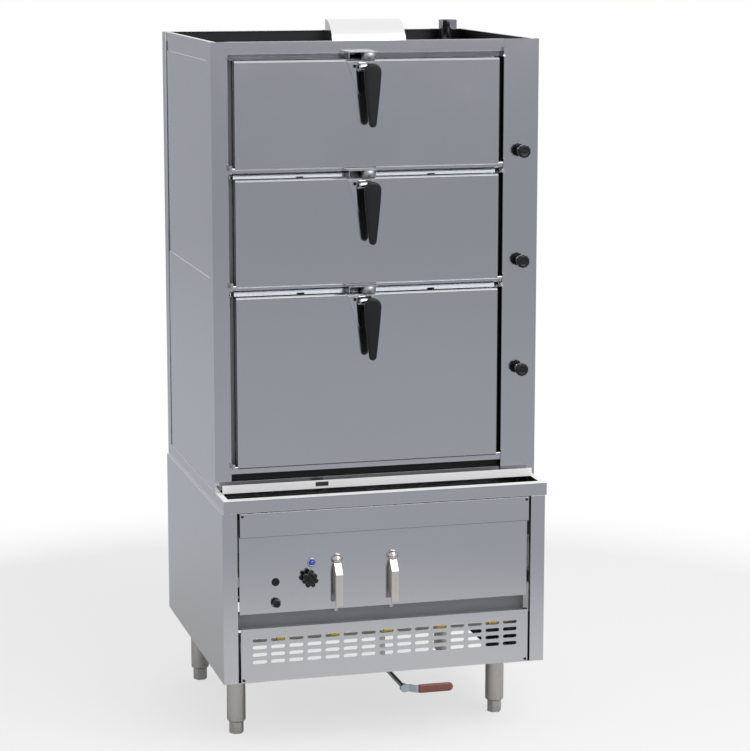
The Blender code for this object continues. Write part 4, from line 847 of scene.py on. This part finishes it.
@dataclass(frozen=True)
class Latch(SubAssembly):
    """Blade handle of a door with its boss, pin and nut."""

    door: str
    half_width: float = 0.0235
    seat: float = 0.0205
    tip_half: float = 0.0105
    shoulder: float = 0.0225
    taper_power: float = 1.25
    thickness: float = 0.012
    tip_thickness: float = 0.0085
    end_thickness: float = 0.45
    end_run: float = 0.006
    end_trim: float = 0.0005
    front_power: float = 0.50
    back_power: float = 0.34
    crown: float = 0.0012
    boss: float = 0.0085
    boss_left: float = 0.0107
    boss_sink: float = 0.002
    pin_drop: float = 0.010
    pin: Profile = (
        (-0.0105, 0.0040), (-0.0297, 0.0040), (-0.0297, 0.0052), (-0.0312, 0.0048), (-0.0320, 0.0030),
    )
    nut: Profile = (
        (-0.0321, 0.0035), (-0.0321, 0.0050), (-0.0332, 0.0056), (-0.0362, 0.0056), (-0.0370, 0.0046),
        (-0.0370, 0.0030),
    )
    stations: int = 30
    sides: int = 40

    def half_at(self, down: float, length: float) -> float:
        """Give the blade's half width.

        Args:
            down: Distance from the blade's top.
            length: Length of the blade.

        Returns:
            Half of the width there.
        """
        taper = (down - self.shoulder) / (length - self.shoulder - self.tip_half)
        taper = min(1.0, max(0.0, taper))
        if down < self.shoulder:
            lift = self.shoulder - down
            return self.half_width - self.shoulder + math.sqrt(max(0.0, self.shoulder ** 2 - lift ** 2))
        left = length - down
        if left < self.tip_half:
            return math.sqrt(max(0.0, self.tip_half ** 2 - (self.tip_half - left) ** 2))
        return self.tip_half + (self.half_width - self.tip_half) * (1.0 - taper ** self.taper_power)

    def ring(self, middle: float, front: float, height: float, half: float, thick: float) -> Ring:
        """Give one slice of the blade, flat behind and crowned in front.

        Args:
            middle: Middle of the blade across.
            front: Foremost plane of the blade.
            height: Height of the slice.
            half: Half of its width.
            thick: Its thickness.

        Returns:
            The points of the slice.
        """
        points = []
        for i in range(self.sides):
            angle = math.tau * i / self.sides
            cos, sin = math.cos(angle), math.sin(angle)
            power = self.front_power if sin < 0 else self.back_power
            x = half * math.copysign(abs(cos) ** power, cos)
            y = thick / 2 * math.copysign(abs(sin) ** power, sin)
            if sin < 0:
                y += self.crown * (x / max(half, TINY)) ** 2
            points.append(Vector((middle + x, front + self.thickness / 2 + y, height)))
        return points

    def build(self) -> None:
        """Build the blade with its boss, its pin and the nut on the pin."""
        body = f"{self.door}_latch_handle"
        low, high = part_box(body)
        length = high.z - low.z
        middle = high.x - self.seat
        rings = []
        for i in range(self.stations + 1):
            share = 0.5 - 0.5 * math.cos(math.pi * i / self.stations)
            down = length * min(1.0 - self.end_trim, max(self.end_trim, share))
            thick = self.thickness + (self.tip_thickness - self.thickness) * share
            thick *= min(1.0, self.end_thickness + min(down, length - down) / self.end_run)
            rings.append(self.ring(middle, low.y, high.z - down, self.half_at(down, length), thick))
        Form(f"{self.door}_latch_blade").loft(rings).place(body, Finishes.black, body)

        pin = Vector((middle, high.y - self.boss, high.z - self.pin_drop))
        back = low.y + self.thickness - self.boss_sink - pin.y
        outline = arc((0.0, 0.0), self.boss, 90, -90, 14) + [(back, -self.boss), (back, self.boss)]
        Form(f"{self.door}_latch_boss").prism(Axis.RIGHT, outline, -self.boss_left, self.boss, pin).place(
            body, Finishes.black, bevel=0.0008)
        Form(f"{self.door}_latch_pin").turn(Axis.RIGHT, pin, self.pin, 24).place(
            body, Finishes.chrome, bevel=0.0003)
        Form(f"{self.door}_latch_nut").turn(Axis.RIGHT, pin, self.nut, 6).place(
            body, Finishes.screw, bevel=0.0004)


@dataclass(frozen=True)
class SteamKnob(SubAssembly):
    """Fluted round knob on its neck and shaft, with heights counted from its front face."""

    door: str
    flutes: int = 10
    flute_depth: float = 0.055
    head: Profile = (
        (-0.0160, 0.0060), (-0.0160, 0.0155), (-0.0148, 0.0175), (-0.0125, 0.0180), (-0.0048, 0.0180),
        (-0.0022, 0.0172), (-0.0007, 0.0152), (0.0, 0.0130), (-0.0004, 0.0112), (-0.0012, 0.0104),
        (-0.0012, 0.0040), (-0.0006, 0.0020),
    )
    neck: Profile = (
        (-0.0240, 0.0060), (-0.0240, 0.0086), (-0.0232, 0.0090), (-0.0155, 0.0090), (-0.0155, 0.0060),
    )
    shaft_radius: float = 0.0050
    collar: Profile = ((-0.0265, 0.0050), (-0.0260, 0.0072), (-0.0242, 0.0072), (-0.0238, 0.0050))

    def flute(self, angle: float) -> float:
        """Give the share of the radius at an angle."""
        return 1.0 - self.flute_depth * (0.5 + 0.5 * math.cos(self.flutes * angle)) ** 3

    def build(self) -> None:
        """Build the knob's head, its neck ring and its shaft."""
        body = f"{self.door}_steam_knob"
        low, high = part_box(body)
        front = Vector(((low.x + high.x) / 2, low.y, (low.z + high.z) / 2))
        Form(f"{self.door}_knob_head").turn(Axis.FRONT, front, self.head, 80, self.flute).place(
            body, Finishes.black, body)
        Form(f"{self.door}_knob_neck").turn(Axis.FRONT, front, self.neck).place(
            body, Finishes.black, bevel=0.0004)
        shaft = [(low.y - high.y, self.shaft_radius), *self.collar]
        Form(f"{self.door}_knob_shaft").turn(Axis.FRONT, front, shaft, 32).place(
            body, Finishes.chrome, bevel=0.0003)


@dataclass(frozen=True)
class StarKnob(SubAssembly):
    """Seven-lobed gas knob with a domed cap in its middle, with heights counted from its front face."""

    lobes: int = 7
    lobe_depth: float = 0.24
    radius: float = 0.022
    panel_set: float = 0.0156
    star: Profile = (
        (-0.0150, 0.0100), (-0.0150, 0.0190), (-0.0138, 0.0212), (-0.0120, 0.0220), (-0.0040, 0.0220),
        (-0.0018, 0.0212), (-0.0006, 0.0195), (-0.0004, 0.0150), (-0.0022, 0.0125), (-0.0022, 0.0040),
    )
    hub_foot: Profile = ((0.0004, 0.0105), (0.0004, 0.0118), (0.0030, 0.0120))
    hub_head: Profile = ((-0.0145, 0.0112), (-0.0145, 0.0060))
    cap: Profile = ((-0.0030, 0.0080), (-0.0012, 0.0080), (-0.0003, 0.0066), (0.0, 0.0030))
    shaft_radius: float = 0.0048
    shaft_end: float = 0.0010

    def lobe(self, angle: float) -> float:
        """Give the share of the lobes' outer radius at an angle."""
        dip = 0.5 - 0.5 * math.cos(self.lobes * (angle - math.pi / 2))
        return 1.0 - self.lobe_depth * dip ** 2

    def build(self) -> None:
        """Build the star, the hub behind it, its cap and its shaft."""
        body = "gas_knob"
        low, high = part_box(body)
        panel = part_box("fascia_strip")[0].y + self.panel_set
        front = Vector(((low.x + high.x) / 2, low.y, high.z - self.radius))
        depth = panel - low.y
        Form("gas_knob_star").turn(Axis.FRONT, front, self.star, 112, self.lobe).place(
            body, Finishes.black, body)
        hub = [(height - depth, radius) for height, radius in self.hub_foot] + list(self.hub_head)
        Form("gas_knob_hub").turn(Axis.FRONT, front, hub).place(body, Finishes.black, bevel=0.0003)
        Form("gas_knob_cap").turn(Axis.FRONT, front, self.cap, 36).place(body, Finishes.screw)
        shaft = [(low.y - high.y, self.shaft_radius), (self.shaft_end - depth, self.shaft_radius)]
        Form("gas_knob_shaft").turn(Axis.FRONT, front, shaft, 24).place(body, Finishes.chrome)


@dataclass(frozen=True)
class TapLever(SubAssembly):
    """Nickel lever of a tap: domed hub, bright slope and a flat grip with a squared tip."""

    hand: str
    root: float = 0.008
    reach: float = 0.033
    drop: float = 0.004
    slope: float = 0.036
    length: float = 0.125
    thick: float = 0.008
    half: float = 0.010
    chamfer: float = 0.002
    inner_slope: float = 0.40
    root_depth: float = 1.15
    dome_rim: Profile = ((0.0003, 0.0150), (0.0006, 0.0157), (0.0014, 0.0160), (0.0040, 0.0158))
    dome_lift: float = 0.0003
    dome_radius: float = 0.016
    screw: Profile = ((0.0135, 0.0040), (0.0160, 0.0040), (0.0168, 0.0032), (0.0171, 0.0012))
    shaft_radius: float = 0.0058
    shaft_end: float = 0.0020

    def build(self) -> None:
        """Build the lever, the dome, the small screw on the dome and the shaft."""
        body = f"{self.hand}_tap_lever"
        low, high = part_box(body)
        panel = low.y + self.reach
        foot = Vector(((low.x + high.x) / 2, panel, low.z + self.length))
        front, inner = -self.reach, -self.reach + self.thick
        outline = [
            (-self.root, -self.drop), (front, -self.slope), (front, -self.length + self.chamfer),
            (front + self.chamfer, -self.length), (inner, -self.length),
            (inner, -self.slope - self.thick * self.inner_slope),
            (-self.root, -self.drop - self.thick * self.root_depth),
        ]
        Form(f"{self.hand}_lever_blade").prism(Axis.RIGHT, outline, -self.half, self.half, foot).place(
            body, Finishes.nickel, body, 0.0011)
        dome = [*self.dome_rim, *arc((self.dome_lift, 0.0), self.dome_radius, 68, 4, 10)]
        Form(f"{self.hand}_lever_dome").turn(Axis.FRONT, foot, dome, 56).place(body, Finishes.dome)
        Form(f"{self.hand}_lever_screw").turn(Axis.FRONT, foot, self.screw, 24).place(body, Finishes.chrome)
        shaft = [(panel - high.y, self.shaft_radius), (self.shaft_end, self.shaft_radius)]
        Form(f"{self.hand}_lever_shaft").turn(Axis.FRONT, foot, shaft, 24).place(body, Finishes.satin)


@dataclass(frozen=True)
class PanelButtons(SubAssembly):
    """Switch, igniter and signal lamp with the rings round them, counted from the panel's face."""

    switch_cap: Profile = (
        (-0.0058, 0.0118), (-0.0020, 0.0118), (-0.0020, 0.0098), (0.0006, 0.0098), (0.0010, 0.0092),
        (0.0006, 0.0070), (0.0004, 0.0030),
    )
    switch_ring: Profile = (
        (0.0, 0.0100), (0.0, 0.0112), (0.0006, 0.0111), (0.0008, 0.0106), (0.0006, 0.0101),
    )
    igniter_cap: Profile = (
        (-0.0058, 0.0098), (-0.0020, 0.0098), (-0.0020, 0.0078), (0.0034, 0.0078), (0.0034, 0.0096),
        (0.0042, 0.0100), (0.0178, 0.0100), (0.0194, 0.0093), (0.0200, 0.0080), (0.0196, 0.0071),
        (0.0194, 0.0030),
    )
    igniter_ring: Profile = (
        (0.0, 0.0114), (0.0, 0.0134), (0.0018, 0.0132), (0.0024, 0.0124), (0.0020, 0.0115),
    )
    rib_count: int = 14
    rib_depth: float = 0.02
    bezel: Profile = (
        (0.0002, 0.0069), (0.0002, 0.0122), (0.0010, 0.0125), (0.0024, 0.0120), (0.0030, 0.0105),
        (0.0026, 0.0078), (0.0016, 0.0070),
    )
    glass: Profile = (
        (-0.0216, 0.0096), (-0.0004, 0.0096), (-0.0004, 0.0068), (0.0024, 0.0067), (0.0044, 0.0060),
        (0.0060, 0.0046), (0.0068, 0.0028), (0.0070, 0.0012),
    )

    @staticmethod
    def middle(node: str) -> Vector:
        """Give the point where a button's axis meets the panel's face."""
        low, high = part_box(node)
        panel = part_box("control_panel")[0].y
        return Vector(((low.x + high.x) / 2, panel, (low.z + high.z) / 2))

    def ribs(self, angle: float) -> float:
        """Give the share of the igniter's radius at an angle."""
        return 1.0 - self.rib_depth * (0.5 + 0.5 * math.cos(self.rib_count * angle)) ** 4

    def button(self, name: str, cap: Profile, ring: Profile, sides: int, shape: Shape | None = None) -> None:
        """Build a button and the ring that it moves in.

        Args:
            name: The button's name.
            cap: Profile of the button.
            ring: Section of the ring.
            sides: Points on each ring of the button.
            shape: Gives the share of the button's radius at an angle.
        """
        node = f"{name}_button"
        at = self.middle(node)
        Form(f"{name}_cap").turn(Axis.FRONT, at, cap, sides, shape).place(node, Finishes.black, node)
        Form(f"{name}_ring").hoop(Axis.FRONT, at, ring).place(ROOT, Finishes.black)

    def build(self) -> None:
        """Build both buttons, the lamp and their rings."""
        self.button("switch", self.switch_cap, self.switch_ring, 48)
        self.button("igniter", self.igniter_cap, self.igniter_ring, 56, self.ribs)
        at = self.middle("indicator_lamp")
        Form("lamp_bezel").hoop(Axis.FRONT, at, self.bezel).place(ROOT, Finishes.bezel)
        Form("lamp_lens").turn(Axis.FRONT, at, self.glass, 40).place(ROOT, Finishes.lens, "indicator_lamp")


@dataclass(frozen=True)
class DrainGrip(SubAssembly):
    """Dipped vinyl grip of the drain lever, rounded at its end and creased along its sides."""

    stations: int = 26
    sides: int = 32
    crowding: float = 1.6
    end_trim: float = 0.0015
    end_depth: float = 0.30
    end_run: float = 0.008
    lip: float = 0.0025
    lip_width: float = 0.95
    lip_depth: float = 0.88
    side_power: float = 0.55
    face_power: float = 0.60
    crease_depth: float = 0.06
    crease_width: float = 0.16

    def build(self) -> None:
        """Build the grip."""
        low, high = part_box("drain_grip")
        length = high.x - low.x
        half = (high.z - low.z) / 2
        thick = (high.y - low.y) / 2
        middle = (low + high) / 2
        rings = []
        for i in range(self.stations + 1):
            share = 1.0 - (1.0 - i / self.stations) ** self.crowding
            along = length * min(1.0 - self.end_trim, share)
            left = length - along
            wide = half if left > half else math.sqrt(max(TINY ** 2, half ** 2 - (half - left) ** 2))
            full = math.sqrt(min(1.0, left / self.end_run))
            deep = thick * min(1.0, self.end_depth + (1.0 - self.end_depth) * full)
            if along < self.lip:
                wide *= self.lip_width + (1.0 - self.lip_width) * along / self.lip
                deep *= self.lip_depth + (1.0 - self.lip_depth) * along / self.lip
            ring = []
            for j in range(self.sides):
                angle = math.tau * j / self.sides
                cos, sin = math.cos(angle), math.sin(angle)
                z = wide * math.copysign(abs(cos) ** self.side_power, cos)
                y = deep * math.copysign(abs(sin) ** self.face_power, sin)
                dent = math.exp(-((z / max(wide, TINY)) / self.crease_width) ** 2)
                y *= 1.0 - self.crease_depth * dent
                ring.append(Vector((low.x + along, middle.y + y, middle.z + z)))
            rings.append(ring)
        Form("drain_grip_sleeve").loft(rings).place("drain_lever", Finishes.vinyl, "drain_grip")


@dataclass(frozen=True)
class KeeperSleeve(SubAssembly):
    """Turned sleeve round the drum that a door's latch hooks on."""

    door: str
    rail: str
    drum: float = 0.0195
    skin: float = 0.0004
    offset: float = -0.00275
    rise: float = 0.0021
    height: float = 0.0166

    def build(self) -> None:
        """Build the sleeve."""
        low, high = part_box(f"{self.door}_door")
        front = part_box(self.rail)[0].y
        foot = Vector(((low.x + high.x) / 2 + self.offset, front + self.drum, high.z + self.rise))
        outer = self.drum + self.skin
        inner = self.drum - self.skin
        section = [(0.0, inner), (0.0, outer - self.skin), (self.skin, outer),
                   (self.height - self.skin, outer), (self.height, outer - self.skin), (self.height, inner)]
        Form(f"{self.door}_keeper_sleeve").hoop(Axis.UP, foot, section, 56).place(ROOT, Finishes.drum)


@dataclass(frozen=True)
class Flashing(SubAssembly):
    """Strip along the back of the gutter, fixed to the front of both stiles, its face painted white as a
    reflection.
    """

    thickness: float = 0.0012
    gap: float = 0.0002
    margin: float = 0.0147
    foot_gap: float = 0.0004
    height: float = 0.0225

    def build(self) -> None:
        """Build the strip."""
        left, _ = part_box("left_stile")
        _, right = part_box("right_stile")
        back = left.y - self.gap
        base = left.z + self.foot_gap
        foot = Vector((left.x + self.margin, back, base))
        length = right.x - self.margin - foot.x
        outline = [(-self.thickness, 0.0), (0.0, 0.0), (0.0, self.height), (-self.thickness, self.height)]
        Form("gutter_flashing").prism(Axis.RIGHT, outline, 0.0, length, foot).place(
            ROOT, Finishes.flashing, bevel=0.0003)


@dataclass(frozen=True)
class CornerBead(SubAssembly):
    """Sealing bead that closes the step between a side sheet and the back panel's flange."""

    hand: str
    gap: float = 0.0002
    width: float = 0.0022
    sheet: float = 0.0015
    first_step: float = 1.2800
    second_step: float = 1.8540

    def build(self) -> None:
        """Build the bead, which follows the side sheet's two steps."""
        way = -1.0 if self.hand == "left" else 1.0
        side_low, side_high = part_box(f"upper_{self.hand}_side")
        back_low, back_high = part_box("upper_back_panel")
        skin = side_low.x if way < 0 else side_high.x
        outer = (back_low.x if way < 0 else back_high.x) - way * self.gap
        low, high = back_low.z + self.gap, back_high.z - self.gap
        levels = [skin + way * self.gap - way * self.sheet * i for i in range(3)]
        outline = [
            (outer, low), (levels[0], low), (levels[0], self.first_step), (levels[1], self.first_step),
            (levels[1], self.second_step), (levels[2], self.second_step), (levels[2], high), (outer, high),
        ]
        foot = Vector((0.0, back_low.y - self.gap, 0.0))
        Form(f"corner_bead_{self.hand}").prism(Axis.FRONT, outline, 0.0, self.width, foot).place(
            ROOT, Finishes.sheet)


@dataclass(frozen=True)
class SmallFittings(SubAssembly):
    """Screws, brass tees, weld rings and rivets.

    A weld's profile is counted from the leg's own radius, and a rivet's from the back panel's face.
    """

    inset: float = 0.0068
    screw_head: Profile = (
        (-0.0002, 0.0038), (0.0006, 0.0040), (0.0012, 0.0036), (0.0015, 0.0026), (0.0016, 0.0012),
    )
    cross_depth: float = 0.10
    rail_radius: float = 0.010
    rail_y: float = -0.33275
    burners: int = 5
    burner_pitch: float = 0.150
    burner_shift: float = 0.0185
    tee: Profile = (
        (-0.0130, 0.0098), (-0.0130, 0.0122), (-0.0120, 0.0132), (0.0120, 0.0132), (0.0130, 0.0122),
        (0.0130, 0.0098),
    )
    weld: Profile = (
        (-0.0030, -0.0010), (-0.0024, 0.0006), (-0.0010, 0.0014), (-0.0001, 0.0018), (-0.0001, -0.0010),
    )
    weld_ripples: int = 36
    ripple_height: float = 0.008
    rivets: int = 7
    rivet_margin: float = 0.030
    rivet_inset: float = 0.014
    rivet: Profile = ((0.0002, 0.0034), (-0.0006, 0.0033), (-0.0012, 0.0024), (-0.0014, 0.0010))

    def cross(self, angle: float) -> float:
        """Give the share of a screw head's radius at an angle, less at the four ends of its cross cut."""
        return 1.0 - self.cross_depth * max(0.0, math.cos(4 * angle)) ** 8

    def ripple(self, angle: float) -> float:
        """Give the share of a weld's radius at an angle."""
        return 1.0 + self.ripple_height * math.sin(self.weld_ripples * angle)

    def screws(self, plate: str, prefix: str, upper: bool) -> None:
        """Build the two black pan-head screws at a front plate's ends.

        Args:
            plate: Node that the screws hold.
            prefix: Start of the screws' names.
            upper: True for the plate's upper edge, False for its lower edge.
        """
        low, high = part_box(plate)
        z = high.z - self.inset if upper else low.z + self.inset
        for side, x in (("left", low.x + self.inset), ("right", high.x - self.inset)):
            foot = Vector((x, low.y, z))
            Form(f"{prefix}_screw_{side}").turn(Axis.FRONT, foot, self.screw_head, 20, self.cross).place(
                ROOT, Finishes.screw)

    def tees(self) -> None:
        """Build the brass tees on the gas rail."""
        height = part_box("gas_rail")[0].z + self.rail_radius
        low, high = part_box("burner_frame")
        start = (low.x + high.x) / 2 + self.burner_shift - 2 * self.burner_pitch
        for i in range(self.burners):
            foot = Vector((start + i * self.burner_pitch, self.rail_y, height))
            Form(f"burner_tee_{i + 1}").hoop(Axis.RIGHT, foot, self.tee, 6).place(
                ROOT, Finishes.brass, bevel=0.0004)

    def welds(self) -> None:
        """Build the weld ring at the top of each leg."""
        for name in ("front_left", "front_right", "rear_left", "rear_right"):
            low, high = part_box(f"leg_{name}")
            foot = Vector(((low.x + high.x) / 2, (low.y + high.y) / 2, high.z))
            bead = [(height, (high.x - low.x) / 2 + beyond) for height, beyond in self.weld]
            Form(f"leg_weld_{name}").turn(Axis.UP, foot, bead, 72, self.ripple).place(ROOT, Finishes.satin)

    def rear_rivets(self) -> None:
        """Build the rivets along the base panel's upper and lower edges at the rear."""
        low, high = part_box("base_back_panel")
        for i in range(self.rivets):
            share = i / (self.rivets - 1)
            x = low.x + self.rivet_margin + (high.x - low.x - 2 * self.rivet_margin) * share
            for row, z in (("low", low.z + self.rivet_inset), ("high", high.z - self.rivet_inset)):
                foot = Vector((x, high.y, z))
                Form(f"rear_rivet_{row}_{i + 1}").turn(Axis.FRONT, foot, self.rivet, 18).place(
                    ROOT, Finishes.satin)

    def build(self) -> None:
        """Build all of the small fittings."""
        self.screws("fascia_strip", "fascia", True)
        self.screws("vent_grille", "grille", False)
        self.tees()
        self.welds()
        self.rear_rivets()


@dataclass(frozen=True)
class Studio:
    """White studio with one large soft light, and the camera.

    Metal sees the floor in a near and a far tone, which give the steel its grey. The fade is the distance
    over which the floor turns into the background.
    """

    camera_at: Place = (-1.7263, -6.6950, 2.2082)
    camera_pitch: float = 10.27
    camera_yaw: float = 15.03
    lens: float = 119.5
    sensor: float = 36.0
    clip: Point = (0.1, 200.0)
    floor_radius: float = 150.0
    fade: Point = (0.9, 2.6)
    floor_tone: float = 0.80
    floor_white: float = 0.65
    speckles: Pattern = Pattern(35.0, 4.0, 0.6)
    speckle_depth: float = 0.015
    near_tone: Colour = (0.52, 0.535, 0.572)
    far_tone: Colour = (0.44, 0.45, 0.487)
    tone_run: Point = (3.0, 12.0)
    white: Colour = (1.0, 1.0, 1.0)
    ambient: float = 0.60
    light_at: Place = (1.2, -2.9, 3.4)
    light_aim: Place = (0.1, -0.4, 0.7)
    light_size: float = 3.0
    light_power: float = 95.0

    def camera(self) -> None:
        """Set up the camera at the photograph's angle."""
        data = bpy.data.cameras.new("camera")
        data.lens = self.lens
        data.sensor_width = self.sensor
        data.clip_start, data.clip_end = self.clip
        camera = bpy.data.objects.new("camera", data)
        camera.location = self.camera_at
        camera.rotation_euler = (math.radians(90.0 - self.camera_pitch), 0.0, math.radians(-self.camera_yaw))
        bpy.context.scene.collection.objects.link(camera)
        bpy.context.scene.camera = camera

    @staticmethod
    def ray(graph: Graph, kind: str) -> Signal:
        """Say whether a ray is of a kind, as Light Path calls it."""
        return graph.node("ShaderNodeLightPath", output=f"Is {kind} Ray")

    def seen(self, graph: Graph) -> Signal:
        """Say whether a ray shows the background: from the camera, in metal or through glass."""
        return self.ray(graph, "Camera").most(self.ray(graph, "Glossy")).most(self.ray(graph, "Transmission"))

    def world(self) -> None:
        """Light the studio evenly, with a white background."""
        world = bpy.data.worlds.new("studio")
        world.use_nodes = True
        bpy.context.scene.world = world
        graph = Graph(world.node_tree)
        shade = graph.node("ShaderNodeBackground", None, {"Color": self.white, "Strength": self.ambient})
        white = graph.node("ShaderNodeBackground", None, {"Color": self.white, "Strength": 1.0})
        mixed = graph.node("ShaderNodeMixShader", None, {0: self.seen(graph), 1: shade, 2: white})
        graph.end("ShaderNodeOutputWorld", mixed)

    def floor_finish(self) -> bpy.types.Material:
        """Give the floor's material: matt near the cabinet, background further off, grey in metal."""
        finish = bpy.data.materials.new("floor")
        finish.use_nodes = True
        graph = Graph(finish.node_tree)
        at = graph.place()
        away = graph.node("ShaderNodeVectorMath", {"operation": "LENGTH"}, {0: at}, "Value")
        darkest, lightest = ((self.floor_tone * (1.0 + way * self.speckle_depth),) * 3 for way in (-1, 1))
        ground = graph.tint(graph.noise(at, self.speckles), darkest, lightest)
        matt = graph.node("ShaderNodeBsdfDiffuse", None, {"Color": ground})
        white, near, far = (graph.node("ShaderNodeEmission", None, {"Color": tone, "Strength": 1.0})
                            for tone in (self.white, self.near_tone, self.far_tone))
        metal = graph.node("ShaderNodeMixShader", None, {0: away.ramp(*self.tone_run), 1: near, 2: far})
        beyond = graph.node("ShaderNodeMixShader", None, {0: self.ray(graph, "Glossy"), 1: white, 2: metal})
        veil = self.ray(graph, "Camera") * self.floor_white
        fade = (self.seen(graph) * away.ramp(*self.fade)).most(veil)
        mixed = graph.node("ShaderNodeMixShader", None, {0: fade, 1: matt, 2: beyond})
        graph.end("ShaderNodeOutputMaterial", mixed)
        return finish

    def floor(self) -> None:
        """Lay a pale floor that keeps the shadow and fades into the white background."""
        mesh = bmesh.new()
        bmesh.ops.create_circle(mesh, cap_ends=True, radius=self.floor_radius, segments=96)
        data = bpy.data.meshes.new("floor")
        mesh.to_mesh(data)
        mesh.free()
        data.materials.append(self.floor_finish())
        floor = bpy.data.objects.new("floor", data)
        bpy.context.scene.collection.objects.link(floor)

    def light(self) -> None:
        """Hang the soft light."""
        data = bpy.data.lights.new("soft_light", "AREA")
        data.shape = "RECTANGLE"
        data.size = data.size_y = self.light_size
        data.energy = self.light_power
        lamp = bpy.data.objects.new("soft_light", data)
        at, aim = Vector(self.light_at), Vector(self.light_aim)
        lamp.matrix_world = Matrix.Translation(at) @ (aim - at).to_track_quat("-Z", "Y").to_matrix().to_4x4()
        bpy.context.scene.collection.objects.link(lamp)

    def build(self) -> None:
        """Set up the camera, the background, the floor and the soft light."""
        self.camera()
        self.world()
        self.floor()
        self.light()
        bpy.context.scene.view_settings.view_transform = "Standard"
        LOG.info("studio: floor, background, one soft light and the camera")


def clear_start() -> None:
    """Remove what Blender's own start scene holds, apart from the frame."""
    for thing in list(bpy.context.scene.objects):
        if thing.name in ("Camera", "Cube", "Light"):
            bpy.data.objects.remove(thing)


def main() -> None:
    """Dress the frame, build the pieces and light them."""
    logging.basicConfig(level=logging.INFO, format="%(message)s")
    clear_start()
    Dresser().run()
    parts: list[SubAssembly] = [Latch(door) for door in DOORS]
    parts += [SteamKnob(door) for door in DOORS]
    parts += [KeeperSleeve(door, rail) for door, rail in zip(DOORS, DOOR_RAILS)]
    parts += [CornerBead("left"), CornerBead("right"), Flashing(), StarKnob()]
    parts += [TapLever("left"), TapLever("right"), PanelButtons(), DrainGrip(), SmallFittings()]
    for part in parts:
        part.build()
        LOG.info("built %s", type(part).__name__)
    Studio().build()


if __name__ == "__main__":
    main()
